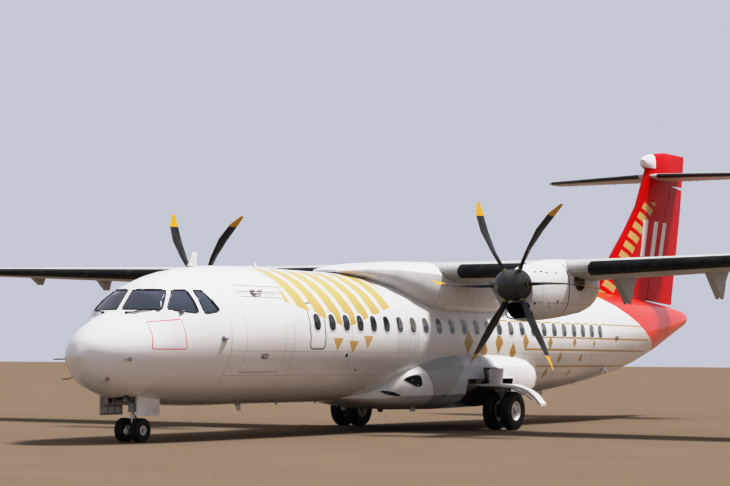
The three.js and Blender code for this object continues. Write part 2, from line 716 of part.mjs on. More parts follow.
// Landing gear fairing round the belly. Columns: Y, half width, top, bottom.
const BELLY_FAIRING_STATIONS = [
  [-5900, 300, 800, 725],
  [-5400, 540, 860, 695],
  [-4950, 780, 940, 640],
  [-4600, 1080, 1130, 590],
  [-4350, 1270, 1390, 555],
  [-4100, 1400, 1510, 525],
  [-3600, 1550, 1620, 480],
  [-2900, 1700, 1770, 448],
  [-2200, 1790, 1820, 440],
  [-1300, 1830, 1810, 450],
  [-200, 1810, 1810, 470],
  [600, 1720, 1780, 520],
  [1150, 1600, 1720, 610],
  [1500, 1470, 1610, 720],
  [1750, 1300, 1430, 880],
];
const BELLY_SQUARENESS = 0.68;
const BAY = { inner: 700, outer: 2400, front: -2350, rear: -330, roof: 1150 };
const BAY_SLOT = { inner: 1000, front: -1650, rear: -1000, roof: 1400 };
const JACK_PAD = { x: 900, y: -3300, radius: 60, low: 430, high: 600 };

function bellyFairing() {
  const body = loft(BELLY_FAIRING_STATIONS.map((row) => roundedRing(...row, BELLY_SQUARENESS)));
  const bay = box(BAY.inner, BAY.outer, BAY.front, BAY.rear, 200, BAY.roof);
  const slot = box(BAY_SLOT.inner, BAY.outer, BAY_SLOT.front, BAY_SLOT.rear, 200, BAY_SLOT.roof);
  const { x, y, radius, low, high } = JACK_PAD;
  const pad = rod([x, y, low], [x, y, high], radius);
  const openings = join(bay, slot);
  const shell = cut(body, fuselagePart(5000, 16500, SEAT), openings, mirrored(openings));
  return mainBody(join(shell, pad, mirrored(pad)));
}

// Nacelle. Columns: Y, half width, top, bottom, squareness of the section.
const NACELLE_FRONT = 170;
const NACELLE_STATIONS = [
  [PROPELLER_Y + NACELLE_FRONT, 345, 3480, 2440, 0.95],
  [PROPELLER_Y + 340, 400, 3545, 2385, 0.9],
  [PROPELLER_Y + 800, 470, 3640, 2405, 0.84],
  [PROPELLER_Y + 1350, 525, 3725, 2445, 0.8],
  [PROPELLER_Y + 1900, 545, 3765, 2505, 0.8],
  [PROPELLER_Y + 2600, 540, 3765, 2595, 0.8],
  [PROPELLER_Y + 2900, 510, 3735, 2675, 0.82],
  [PROPELLER_Y + 3110, 455, 3690, 2780, 0.85],
  [PROPELLER_Y + 3270, 385, 3610, 2925, 0.88],
  [PROPELLER_Y + 3360, 295, 3520, 3125, 0.92],
];
const INTAKE = { halfWidth: 285, top: 2790, bottom: 2440, depth: 420, squareness: 0.7, sides: 12 };
const ENGINE = { width: 660, height: 700, front: 560, length: 2130, axisDrop: 40 };
const EXHAUST = { y: -2560, z: 3240, radius: 170, inner: 380 };
const SHAFT_RADIUS = 75;
const HUB_BACK = 150;

// The air intake under the spinner, which narrows inwards.
function intakeCut() {
  const { halfWidth, top, bottom, depth, squareness, sides } = INTAKE;
  const front = PROPELLER_Y + NACELLE_FRONT - 10;
  return loft([
    roundedRing(front, halfWidth, top, bottom, squareness, sides),
    roundedRing(front + depth, halfWidth * 0.8, top, bottom + depth * 0.1, squareness, sides),
  ]);
}

function engineBay(gap) {
  const front = PROPELLER_Y + ENGINE.front;
  const half = ENGINE.width / 2 + gap;
  const middle = PROPELLER_Z - ENGINE.axisDrop;
  return box(-half, half, front - gap, front + ENGINE.length + gap,
    middle - ENGINE.height / 2 - gap, middle + ENGINE.height / 2 + gap);
}

// The exhaust opens on the outboard side, which is +X here and is mirrored for the other nacelle.
function exhaustCut() {
  const { y, z, radius, inner } = EXHAUST;
  return rod([inner, y - 60, z], [700, y + 160, z], radius, radius, 12);
}

function nacelle() {
  const body = loft(NACELLE_STATIONS.map((row) => roundedRing(...row)));
  const shaftHole = bore([0, PROPELLER_Y + NACELLE_FRONT - 20, PROPELLER_Z],
    [0, PROPELLER_Y + ENGINE.front + 50, PROPELLER_Z], SHAFT_RADIUS + 12);
  const wing = wingCutter(-1400, 1400, SEAT);
  // The intake opens into the engine's bay through the passage behind its mouth.
  const passage = box(-200, 200, PROPELLER_Y + 500, PROPELLER_Y + 900, 2520, 2900);
  return mainBody(cut(body, shaftHole, intakeCut(), passage, exhaustCut(), engineBay(SEAT), wing));
}

function engine() {
  const shaft = rod([0, PROPELLER_Y + 60, PROPELLER_Z], [0, PROPELLER_Y + ENGINE.front + 20, PROPELLER_Z],
    SHAFT_RADIUS);
  const block = cut(engineBay(0), wingCutter(-1400, 1400, SEAT * 3));
  return mainBody(join(shaft, block));
}

// Propeller: a hub with six curved blades, and a spinner cap in front of it.
const SPINNER_RADIUS = 335;
const SPINNER_SIDES = 20;
const HUB_FRONT = -230;
const BLADES = 6;
const BLADE_REST_TURN = -4.4;
// The blades are swept and twisted.
// Columns: radius, chord, blade angle from the disc's plane, sideways, back, thickness share.
const BLADE_STATIONS = [
  [230, 130, 107, 5, -20, 0.85],
  [480, 170, 104, 13, -65, 0.42],
  [850, 290, 98, 41, -125, 0.14],
  [1300, 320, 89, 95, -120, 0.08],
  [1700, 250, 81, 178, -50, 0.055],
  [PROPELLER_DIAMETER / 2, 80, 75, 261, 41, 0.06],
];
const BLADE_SHARES = [0.2, 0.6];
const BLADE_AXIS_SHARE = 0.45;

function bladeRing([radius, chord, bladeAngle, sideways, back, thickness]) {
  const angle = THREE.MathUtils.degToRad(bladeAngle);
  const half = (share) => thickness * Math.sin(Math.PI * Math.sqrt(share)) * 0.5;
  const upper = BLADE_SHARES.map((share) => [share, half(share)]);
  const lower = BLADE_SHARES.map((share) => [share, -half(share)]).reverse();
  return [[0, 0], ...upper, [1, 0], ...lower].map(([share, thick]) => {
    const along = (share - BLADE_AXIS_SHARE) * chord;
    const across = thick * chord;
    return [sideways + along * Math.cos(angle) - across * Math.sin(angle),
      back + along * Math.sin(angle) + across * Math.cos(angle), radius];
  });
}

// The blades stand in the disc's plane about the hub's own centre, with the shaft along Y.
function propellerHub() {
  const blade = loft(BLADE_STATIONS.map(bladeRing));
  const blades = [];
  for (let i = 0; i < BLADES; i++) {
    const turn = new THREE.Matrix4().makeRotationY(((i + 0.5) * 2 * Math.PI) / BLADES
      + THREE.MathUtils.degToRad(BLADE_REST_TURN));
    blades.push(solidOf(geometryOf(blade).applyMatrix4(turn)));
  }
  const drum = rod([0, HUB_FRONT, 0], [0, HUB_BACK, 0], SPINNER_RADIUS - 12, SPINNER_RADIUS, SPINNER_SIDES);
  return cut(join(drum, ...blades), bore([0, 40, 0], [0, HUB_BACK + 10, 0], SHAFT_RADIUS + PIN_GAP));
}

function spinnerCap() {
  const front = HUB_FRONT - SEAT;
  const profile = [
    [0, front], [SPINNER_RADIUS - 14, front], [300, -330], [225, -470], [120, -580], [0, -630],
  ];
  const points = profile.map(([radius, y]) => new THREE.Vector2(radius, y));
  return solidOf(new THREE.LatheGeometry(points, SPINNER_SIDES));
}

// Wheels. The tyre's profile is a shoulder each side of a flat tread.
const MAIN_TYRE = { radius: 432, width: 254, rim: 210, sides: 24 };
const NOSE_TYRE = { radius: 225, width: 190, rim: 92, sides: 18 };
const MAIN_AXLE = 48;
const NOSE_AXLE = 26;
const TWIN_MAIN = 215;
const TWIN_NOSE = 185;
const BEAD_SHARE = 0.72;

function tyre({ radius, width, rim, sides }) {
  const half = width / 2;
  const bead = half * BEAD_SHARE;
  const shoulder = rim + (radius - rim) * 0.45;
  return turnedAboutX([[-bead, rim], [-half, shoulder], [-half * 0.6, radius], [half * 0.6, radius],
    [half, shoulder], [bead, rim], [-bead, rim]], sides);
}

// The rim is dished on the side that faces out.
function wheelRim({ width, rim, sides }, axle) {
  const half = width / 2;
  const bead = half * BEAD_SHARE;
  const edge = rim - 2 * SEAT;
  const body = turnedAboutX([[-bead, 0], [-bead, edge], [bead, edge], [half * 0.35, edge * 0.78],
    [half * 0.55, edge * 0.4], [half * 0.55, 0]], sides);
  return cut(body, bore([-half, 0, 0], [half, 0, 0], axle + PIN_GAP));
}

// Main gear leg: a slanted leg, a trailing arm to the axle, a side brace and a drag brace.
const LEG_TOP = { x: 1545, y: MAIN_GEAR_Y - 130, z: 1400 };
const LEG_KNEE = { x: TRACK / 2, y: MAIN_GEAR_Y - 130, z: 940 };
const AXLE_Z = MAIN_TYRE.radius;

function legTube(grow) {
  const knee = [LEG_KNEE.x + grow * 3, LEG_KNEE.y, LEG_KNEE.z - grow * 3];
  return rod([LEG_TOP.x, LEG_TOP.y, LEG_TOP.z], knee, 85 + grow, 75 + grow);
}

function mainLeg() {
  const { x, y, z } = LEG_KNEE;
  const half = TWIN_MAIN + 60;
  const parts = join(
    legTube(0),
    rod([x, y, z], [x, MAIN_GEAR_Y, AXLE_Z], 70, 60),
    pin([x - half, MAIN_GEAR_Y, AXLE_Z], [x + half, MAIN_GEAR_Y, AXLE_Z], MAIN_AXLE),
    rod([x, MAIN_GEAR_Y + 40, AXLE_Z + 60], [x, MAIN_GEAR_Y + 130, z - 50], 42),
    rod([x, MAIN_GEAR_Y + 130, z - 60], [x, y, z - 60], 38),
    rod([900, y, 1110], [x - 330, y, 1215], 40),
    rod([LEG_TOP.x, BAY_SLOT.front + SEAT, LEG_TOP.z - 95],
      [LEG_TOP.x, BAY_SLOT.rear - SEAT, LEG_TOP.z - 95], 60),
  );
  const bayRoom = box(800, 4000, -3000, 0, 0, BAY_SLOT.roof - SEAT);
  return mainBody(cut(parts.intersect(bayRoom), fuselagePart(9500, 14500, SEAT)));
}

// The door on the leg: a plate over the wheels that narrows to a curved strip outboard, and a panel
// that stands on it beside the leg. Columns: X, Z of the top, front and rear from the axle, thickness.
const GEAR_DOOR_STATIONS = [
  [1480, 1035, -620, 330, 45],
  [2020, 1038, -620, 330, 45],
  [2330, 1020, -560, 300, 45],
  [2450, 1000, -330, 170, 50],
  [2600, 965, -230, 90, 60],
  [2775, 895, -220, 85, 65],
  [2930, 780, -215, 80, 65],
  [3085, 610, -210, 75, 60],
];
const GEAR_PANEL = { x: 2010, thickness: 30, low: 1010, high: 1370, from: -620, to: -60 };

function gearDoor() {
  const body = loft(GEAR_DOOR_STATIONS.map(([x, top, front, rear, thickness]) => {
    const [y0, y1] = [MAIN_GEAR_Y + front, MAIN_GEAR_Y + rear];
    return [[x, y0, top], [x, y1, top], [x, y1, top - thickness], [x, y0, top - thickness]];
  }));
  const { x, thickness, low, high, from, to } = GEAR_PANEL;
  const panel = box(x, x + thickness, MAIN_GEAR_Y + from, MAIN_GEAR_Y + to, low, high);
  return mainBody(cut(join(body, panel), legTube(SEAT)));
}

// Nose gear: a fixed outer strut in its bay, and a turning piston with the axle.
const NOSE_BAY = { half: 330, front: NOSE_GEAR_Y - 620, rear: NOSE_GEAR_Y + 330, roof: 1300 };
const STRUT_RADIUS = 66;
const PISTON_RADIUS = 40;
const STRUT_LOW_Z = 575;
const TOW_LUG = { low: 150, high: 250, front: 210, half: 45 };

function noseStrut() {
  const y = NOSE_GEAR_Y;
  const body = join(
    rod([0, y, NOSE_BAY.roof - SEAT], [0, y, STRUT_LOW_Z], STRUT_RADIUS),
    rod([0, y, STRUT_LOW_Z + 110], [0, y, STRUT_LOW_Z], STRUT_RADIUS + 22),
    rod([0, y - 40, 700], [0, NOSE_BAY.front + 90, 1080], 30),
    rod([-NOSE_BAY.half + SEAT, NOSE_BAY.front + 90, 1080],
      [NOSE_BAY.half - SEAT, NOSE_BAY.front + 90, 1080], 26),
    rod([-NOSE_BAY.half + SEAT, y, 1150], [NOSE_BAY.half - SEAT, y, 1150], 40),
  );
  return cut(body, bore([0, y, STRUT_LOW_Z - 10], [0, y, STRUT_LOW_Z + 320], PISTON_RADIUS + PIN_GAP));
}

function noseFork() {
  const y = NOSE_GEAR_Y;
  const z = NOSE_TYRE.radius;
  const half = TWIN_NOSE + 50;
  return join(
    pin([0, y, STRUT_LOW_Z + 300], [0, y, z], PISTON_RADIUS),
    rod([0, y, z - 45], [0, y, z + 70], 52),
    pin([-half, y, z], [half, y, z], NOSE_AXLE),
    box(-TOW_LUG.half, TOW_LUG.half, y - TOW_LUG.front, y, TOW_LUG.low + 20, TOW_LUG.high),
    rod([0, y + 40, z + 40], [0, y + 150, z + 170], 22),
    rod([0, y + 150, z + 170], [0, y + 30, STRUT_LOW_Z - 45], 20),
  );
}

const NOSE_DOOR = {
  x: 430, thickness: 24, front: NOSE_GEAR_Y - 430, rear: NOSE_GEAR_Y + 230, low: 500, high: 1000,
};

// A plate that hangs beside the bay from two lugs on the bay's edge.
function noseDoor() {
  const { x, thickness, front, rear, low, high } = NOSE_DOOR;
  return mainBody(cut(box(x, x + thickness, front, rear, low, high), fuselagePart(600, 2600, SEAT)));
}

// Tail. The fin and rudder share one body, drawn as aerofoil sections across Z.
const FIN_TOP = HEIGHT;
// Columns: Z, leading edge Y, trailing edge Y, thickness share. The cap at the top reaches forward.
const FIN_STATIONS = [
  [3040, NOSE_Y + 21150, NOSE_Y + 26190, 0.085],
  [3450, NOSE_Y + 21400, NOSE_Y + 26290, 0.089],
  [4300, NOSE_Y + 22090, NOSE_Y + 26500, 0.0905],
  [5180, NOSE_Y + 23125, NOSE_Y + 26715, 0.098],
  [5900, NOSE_Y + 23865, NOSE_Y + 26890, 0.106],
  [6990, NOSE_Y + 24530, NOSE_Y + 27080, 0.118],
  [7080, NOSE_Y + 24240, NOSE_Y + 27095, 0.11],
  [7240, NOSE_Y + 24240, NOSE_Y + 27125, 0.105],
  [7370, NOSE_Y + 24500, NOSE_Y + 27150, 0.1],
  [7460, NOSE_Y + 24940, NOSE_Y + 27160, 0.085],
  [FIN_TOP, NOSE_Y + 25700, NOSE_Y + 27160, 0.04],
];
// The rudder's hinge line runs from low to high; foot and head are the gaps below and above it.
const RUDDER = {
  low: [NOSE_Y + 24170, 3330],
  high: [NOSE_Y + 26060, 6620],
  noseFoot: 30,
  foot: 57,
  head: 12,
  headroom: 24,
  topFall: 0.06,
};
const TAILPLANE = { z: 6805, rootChord: 2140, tipChord: 1150, rootY: NOSE_Y + 24560, hinge: NOSE_Y + 25960 };

function finBody() {
  return loft(FIN_STATIONS.map(([z, front, rear, thickness]) =>
    aerofoil(rear - front, thickness, 0, 0).map(([back, side]) => [side, front + back, z])));
}

function finHalfThickness(y, z) {
  const [, front, rear, thickness] = rowAt(FIN_STATIONS, z);
  return (rear - front) * halfThickness((y - front) / (rear - front), thickness);
}

const TAILPLANE_TIP = TAILPLANE_SPAN / 2;
const TAILPLANE_THICKNESS = 0.095;
// Columns: X, leading edge Y, chord, thickness share.
const TAILPLANE_STATIONS = [
  [0, TAILPLANE.rootY, TAILPLANE.rootChord, TAILPLANE_THICKNESS],
  [TAILPLANE_TIP - 120, TAILPLANE.rootY + 960, TAILPLANE.tipChord + 30, TAILPLANE_THICKNESS],
  [TAILPLANE_TIP, TAILPLANE.rootY + 1120, TAILPLANE.tipChord - 200, 0.06],
];
const ELEVATOR = { from: 300, to: 3480 };

function tailplaneBody() {
  const ring = (x) => {
    const [, front, chord, thickness] = rowAt(TAILPLANE_STATIONS, Math.abs(x));
    return aerofoil(chord, thickness, 0, 0).map(([back, up]) => [x, front + back, TAILPLANE.z + up]);
  };
  const places = TAILPLANE_STATIONS.map((row) => row[0]).slice(1);
  return loft([...places.map((x) => -x).reverse(), 0, ...places].map(ring));
}

function elevatorRadius(x) {
  const [, front, chord, thickness] = rowAt(TAILPLANE_STATIONS, x);
  return chord * halfThickness((TAILPLANE.hinge - front) / chord, thickness);
}

function coneTop(y) {
  return rowAt(FUSELAGE_STATIONS, y - NOSE_Y)[2];
}

function rudderHingePoint(z) {
  const [lowY, lowZ] = RUDDER.low;
  const [highY, highZ] = RUDDER.high;
  return [0, lowY + ((highY - lowY) * (z - lowZ)) / (highZ - lowZ), z];
}

// The rudder's outline. Its hinge line leans, which tilts it as it turns, so its front lower corner is
// cut square to that line and its top edge falls towards the rear.
function rudderRegion() {
  const [, startY, startZ] = rudderHingePoint(RUDDER.low[1] + RUDDER.noseFoot);
  const [, endY, endZ] = rudderHingePoint(RUDDER.high[1] - RUDDER.head);
  const lean = (endY - startY) / (endZ - startZ);
  const rearY = NOSE_Y + LENGTH;
  const heelZ = coneTop(startY) + RUDDER.foot;
  return prism('yz', [
    [startY, startZ],
    [startY + (startZ - heelZ) / lean, heelZ],
    [rearY, coneTop(rearY - 800) + RUDDER.foot],
    [rearY, endZ - (rearY - endY) * RUDDER.topFall],
    [endY, endZ],
  ], -500, 500);
}

// The space that the fin leaves for it.
function rudderSpace() {
  const [lowY] = RUDDER.low;
  const [highY, highZ] = RUDDER.high;
  const rearY = NOSE_Y + LENGTH + 300;
  return prism('yz', [
    [lowY - COVE_LIP, coneTop(lowY) - RUDDER.headroom],
    [rearY, coneTop(rearY - 1100) - RUDDER.headroom],
    [rearY, highZ + RUDDER.headroom],
    [highY - COVE_LIP, highZ + RUDDER.headroom],
  ], -500, 500);
}

function finAndRudder() {
  const start = rudderHingePoint(RUDDER.low[1] + RUDDER.noseFoot);
  const end = rudderHingePoint(RUDDER.high[1] - RUDDER.head);
  return hingedSurface({
    body: finBody(),
    region: rudderRegion(),
    coveRegion: rudderSpace(),
    start,
    end,
    radii: [start, end].map(([, y, z]) => finHalfThickness(y, z) * NOSE_SHARE),
    stations: [0.08, 0.5, 0.92],
    forward: [0, -1, 0],
    across: [1, 0, 0],
  });
}

// One half of the tailplane with its elevator.
function halfTailplane(sign) {
  const half = (inner, outer, y, low = 6000, high = 7600) =>
    box(...[inner * sign, outer * sign].sort((a, b) => a - b), y, 15000, low, high);
  const [start, end] = [ELEVATOR.from + RUNNING_GAP, ELEVATOR.to - RUNNING_GAP]
    .map((x) => [sign * x, TAILPLANE.hinge, TAILPLANE.z]);
  return hingedSurface({
    body: tailplaneBody().intersect(half(0, 5000, 0)),
    region: half(ELEVATOR.from + RUNNING_GAP, ELEVATOR.to - RUNNING_GAP, TAILPLANE.hinge),
    coveRegion: half(ELEVATOR.from, ELEVATOR.to, TAILPLANE.hinge - COVE_LIP),
    start,
    end,
    radii: [ELEVATOR.from, ELEVATOR.to].map((x) => elevatorRadius(x) * NOSE_SHARE),
    stations: [0.1, 0.9],
    forward: [0, -1, 0],
    across: [0, 0, 1],
  });
}

function tail() {
  const { moving: rudder, fixed: fin } = finAndRudder();
  const [port, starboard] = [halfTailplane(1), halfTailplane(-1)];
  // The fin holds the tailplane in a slot of its own shape.
  const slot = loft([-600, 600].map((x) =>
    aerofoil(TAILPLANE.rootChord * 1.006, TAILPLANE_THICKNESS + 0.003, 0, 0)
      .map(([back, up]) => [x, TAILPLANE.rootY - 7 + back, TAILPLANE.z + up])));
  return {
    fin: mainBody(cut(fin, fuselagePart(20500, LENGTH, SEAT), slot)),
    rudder,
    tailplane: join(port.fixed, starboard.fixed),
    elevators: { port: port.moving, starboard: starboard.moving },
  };
}

// Assembly.

const aircraft = new THREE.Group();
aircraft.name = 'turboprop_airliner';

function place(name, solid, material, group = aircraft) {
  const mesh = new THREE.Mesh(geometryOf(mainBody(solid.simplify(FLAT_ENOUGH))), material);
  mesh.name = name;
  group.add(mesh);
  return mesh;
}

function placeBoth(name, solid, material) {
  place(`${name}_port`, solid, material);
  place(`${name}_starboard`, mirrored(solid), material);
}

function noseBayCut() {
  return box(-NOSE_BAY.half, NOSE_BAY.half, NOSE_BAY.front, NOSE_BAY.rear, 300, NOSE_BAY.roof);
}

// Flat pads on the bay's walls, on which the nose gear doors hang.
function noseDoorLugs() {
  const lugs = [0.2, 0.8].map((share) => {
    const y = NOSE_DOOR.front + (NOSE_DOOR.rear - NOSE_DOOR.front) * share;
    return box(NOSE_BAY.half - 40, NOSE_DOOR.x - SEAT, y - 40, y + 40, 720, 880);
  });
  return join(...lugs);
}

const wingCut = wingCutter(-2000, 2000, SEAT);
for (const [name, from, to, material] of SECTIONS) {
  let section = fuselagePart(from + (from ? SEAT / 2 : 0), to - (to < LENGTH ? SEAT / 2 : 0));
  const reaches = (start, end) => start > from && end < to;
  if (name === 'cockpit_section') {
    const lugs = noseDoorLugs();
    section = join(cut(section, cockpitGlazing(SEAT), windowCuts(), noseBayCut()), lugs, mirrored(lugs));
  }
  if (name.endsWith('_fuselage')) section = cut(section, wingCut);
  for (const space of ROOMS) {
    if (reaches(space[0], space[1])) section = cut(section, room(space));
  }
  for (const door of DOORS) {
    if (!reaches(door[1], door[2])) continue;
    section = join(cut(section, doorwayCut(door), doorSweepCut(door)), doorFrameHinge(door));
  }
  section = join(section, ...AERIALS.filter(([station]) => reaches(station, station)).map(aerial));
  place(name, section, material);
}
place('cockpit_glazing', cockpitGlazing(0), GLASS);
for (const door of DOORS) place(door[0], doorLeaf(door), WHITE);

place('wing_fairing', wingFairing(), WHITE);
place('gear_fairing', bellyFairing(), WHITE);

const inner = innerWing();
const outer = outerWing();
place('wing_centre', inner.wing, WING_GREY);
placeBoth('wing_outer', outer.wing, WING_GREY);
placeBoth('boot_inner', inner.boot, BOOT);
placeBoth('boot_outer', outer.boot, BOOT);
placeBoth('flap_inner', inner.flap, WING_GREY);
placeBoth('flap_outer', outer.flap, WING_GREY);
placeBoth('aileron', outer.aileron, WING_GREY);

// Both propellers turn the same way, so only what stands behind them is mirrored.
const hub = propellerHub();
const cap = spinnerCap();
for (const [side, sign] of [['port', 1], ['starboard', -1]]) {
  const handed = (solid) => (sign > 0 ? solid : mirrored(solid));
  const group = new THREE.Group();
  group.position.x = sign * ENGINE_X;
  place(`nacelle_${side}`, handed(nacelle()), WHITE, group);
  place(`engine_${side}`, handed(engine()), ENGINE_METAL, group);
  const propeller = new THREE.Group();
  propeller.position.set(0, PROPELLER_Y, PROPELLER_Z);
  place(`propeller_${side}`, hub, BLADE_BLACK, propeller);
  place(`spinner_${side}`, cap, SPINNER_GREY, propeller);
  group.add(propeller);
  aircraft.add(group);
}

placeBoth('main_leg', mainLeg(), GEAR_GREY);
placeBoth('main_gear_door', gearDoor(), WHITE);
place('nose_strut', noseStrut(), GEAR_GREY);
place('nose_fork', noseFork(), GEAR_GREY);
placeBoth('nose_gear_door', noseDoor(), WHITE);

// Twin wheels on each axle. Columns: name, tyre, axle radius, X, Y, the side that the dish faces.
const LEG_X = TRACK / 2;
const WHEELS = [
  ['nose_wheel_port', NOSE_TYRE, NOSE_AXLE, TWIN_NOSE, NOSE_GEAR_Y, 1],
  ['nose_wheel_starboard', NOSE_TYRE, NOSE_AXLE, -TWIN_NOSE, NOSE_GEAR_Y, -1],
  ['main_wheel_port_outer', MAIN_TYRE, MAIN_AXLE, LEG_X + TWIN_MAIN, MAIN_GEAR_Y, 1],
  ['main_wheel_port_inner', MAIN_TYRE, MAIN_AXLE, LEG_X - TWIN_MAIN, MAIN_GEAR_Y, -1],
  ['main_wheel_starboard_outer', MAIN_TYRE, MAIN_AXLE, -LEG_X - TWIN_MAIN, MAIN_GEAR_Y, -1],
  ['main_wheel_starboard_inner', MAIN_TYRE, MAIN_AXLE, -LEG_X + TWIN_MAIN, MAIN_GEAR_Y, 1],
];
for (const [name, shape, axle, x, y, facing] of WHEELS) {
  const wheel = new THREE.Group();
  wheel.position.set(x, y, shape.radius);
  if (facing < 0) wheel.rotation.z = Math.PI;
  place(`${name}_tyre`, tyre(shape), RUBBER, wheel);
  place(`${name}_rim`, wheelRim(shape, axle), WHEEL_ALLOY, wheel);
  aircraft.add(wheel);
}

const tailParts = tail();
place('fin', tailParts.fin, RED);
place('rudder', tailParts.rudder, RED);
place('tailplane', tailParts.tailplane, WING_GREY);
place('elevator_port', tailParts.elevators.port, WING_GREY);
place('elevator_starboard', tailParts.elevators.starboard, WING_GREY);

export default aircraft;
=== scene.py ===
import math
from functools import partialmethod, reduce
from operator import or_

import bmesh
import bpy
from mathutils import Matrix, Vector
from mathutils.bvhtree import BVHTree


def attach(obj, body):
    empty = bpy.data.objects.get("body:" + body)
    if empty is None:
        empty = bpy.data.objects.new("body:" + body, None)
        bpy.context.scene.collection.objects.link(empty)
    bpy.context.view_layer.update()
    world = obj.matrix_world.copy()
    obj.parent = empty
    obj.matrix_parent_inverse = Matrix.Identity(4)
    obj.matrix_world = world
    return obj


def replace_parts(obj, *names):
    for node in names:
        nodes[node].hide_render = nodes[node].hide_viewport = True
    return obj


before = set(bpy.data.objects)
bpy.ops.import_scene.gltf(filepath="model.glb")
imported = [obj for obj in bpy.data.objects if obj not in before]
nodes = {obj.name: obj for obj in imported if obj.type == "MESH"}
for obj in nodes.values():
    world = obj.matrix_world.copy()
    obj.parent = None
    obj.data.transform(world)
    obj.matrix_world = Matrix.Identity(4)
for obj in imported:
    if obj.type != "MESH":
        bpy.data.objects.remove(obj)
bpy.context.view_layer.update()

# Pressure cabin. Aluminium sheet riveted over round frames from the nose to the tail cone, rolled to
# one smooth shape. The reference below is that shape, and the sheets take their curvature from it.
NOSE_Y = -13.583
SIDES = ((1, "port"), (-1, "starboard"))
# Columns: from the nose tip, half width, top, bottom, waist.
CABIN_FRAMES = [
    (0.0, 0.06, 1.655, 1.545, 1.6), (0.08, 0.285, 1.84, 1.355, 1.605), (0.25, 0.51, 2.005, 1.145, 1.615),
    (0.55, 0.745, 2.2, 0.97, 1.64), (1.0, 0.97, 2.405, 0.83, 1.7), (1.15, 1.03, 2.455, 0.803, 1.725),
    (1.5, 1.14, 2.85, 0.75, 1.79), (1.8, 1.205, 3.01, 0.718, 1.83), (2.2, 1.28, 3.16, 0.69, 1.88),
    (2.7, 1.34, 3.275, 0.668, 1.93), (3.3, 1.39, 3.36, 0.655, 1.97), (4.0, 1.422, 3.41, 0.655, 2.0),
    (4.8, 1.4325, 3.432, 0.665, 2.005), (15.0, 1.4325, 3.432, 0.665, 2.005),
    (16.2, 1.428, 3.442, 0.68, 2.06), (17.3, 1.412, 3.447, 0.75, 2.1), (18.4, 1.375, 3.457, 0.85, 2.15),
    (19.5, 1.318, 3.475, 0.96, 2.21), (20.5, 1.245, 3.45, 1.075, 2.27), (21.6, 1.135, 3.4, 1.23, 2.34),
    (22.8, 0.98, 3.335, 1.465, 2.43), (24.0, 0.79, 3.265, 1.755, 2.52), (25.0, 0.61, 3.195, 2.055, 2.61),
    (26.0, 0.42, 3.115, 2.345, 2.71), (26.8, 0.25, 3.025, 2.57, 2.785), (27.166, 0.11, 2.935, 2.69, 2.81),
]
CABIN_NODES = (
    "radome", "cockpit_section", "forward_fuselage", "centre_fuselage", "rear_fuselage", "tail_cone",
    "cargo_door", "passenger_door", "cockpit_glazing",
)
RING_POINTS = 84
WELD = 0.0002
# Degrees between two faces at which a skin breaks.
SHEET_BREAK = 24


def circle(count):
    """The cosine and sine of equal turns."""
    return [(math.cos(2 * math.pi * i / count), math.sin(2 * math.pi * i / count)) for i in range(count)]


def loft(rings, caps=True):
    """A shape, as points and faces: the skin over closed rings of equally many points."""
    count = len(rings[0])
    points = [p for ring in rings for p in ring]
    faces = []
    for low in range(0, len(points) - count, count):
        faces += [(low + i, low + (i + 1) % count, low + count + (i + 1) % count, low + count + i)
                  for i in range(count)]
    if caps:
        faces += [tuple(range(count)), tuple(range(len(points) - count, len(points)))]
    return points, faces


def joined(shapes):
    """Several shapes as one."""
    verts, faces = [], []
    for points, corners in shapes:
        first = len(verts)
        verts += [tuple(p) for p in points]
        faces += [[first + i for i in face] for face in corners]
    return verts, faces


def placed(name, data):
    made = bpy.data.objects.new(name, data)
    bpy.context.scene.collection.objects.link(made)
    return made


def mesh_of(name, shapes):
    verts, faces = joined(shapes)
    mesh = bpy.data.meshes.new(name)
    mesh.from_pydata(verts, [], faces)
    mesh.validate()
    return mesh


def cabin_ring(station, half_width, top, bottom, waist):
    return [(half_width * c, NOSE_Y + station, waist + (top - waist if s > 0 else waist - bottom) * s)
            for c, s in circle(RING_POINTS)]


def cabin_reference():
    """The whole outside of the cabin as one smooth mesh, not shown, that carries its own normals."""
    mesh = mesh_of("cabin_reference", [loft([cabin_ring(*row) for row in CABIN_FRAMES], caps=False)])
    normals = [n.vector.copy() for n in mesh.vertex_normals]
    if normals[RING_POINTS * 12].x < 0:
        normals = [-n for n in normals]
    slot = mesh.attributes.new("outward", "FLOAT_VECTOR", "POINT")
    slot.data.foreach_set("vector", [c for n in normals for c in n])
    shape = placed("cabin_reference", mesh)
    shape.hide_render = True
    shape.hide_viewport = True
    return shape


def add_node(tree, kind, inputs=(), **settings):
    """Adds a node and returns its outputs. Inputs are values or sockets, in order or by name."""
    made = tree.nodes.new(kind)
    for key, value in settings.items():
        setattr(made, key, value)
    pairs = zip(made.inputs, inputs)
    if isinstance(inputs, dict):
        pairs = [(next(s for s in made.inputs if s.enabled and s.name == key), inputs[key]) for key in inputs]
    for target, value in pairs:
        if isinstance(value, bpy.types.NodeSocket):
            tree.links.new(value, target)
        else:
            target.default_value = value
    return [s for s in made.outputs if s.enabled]


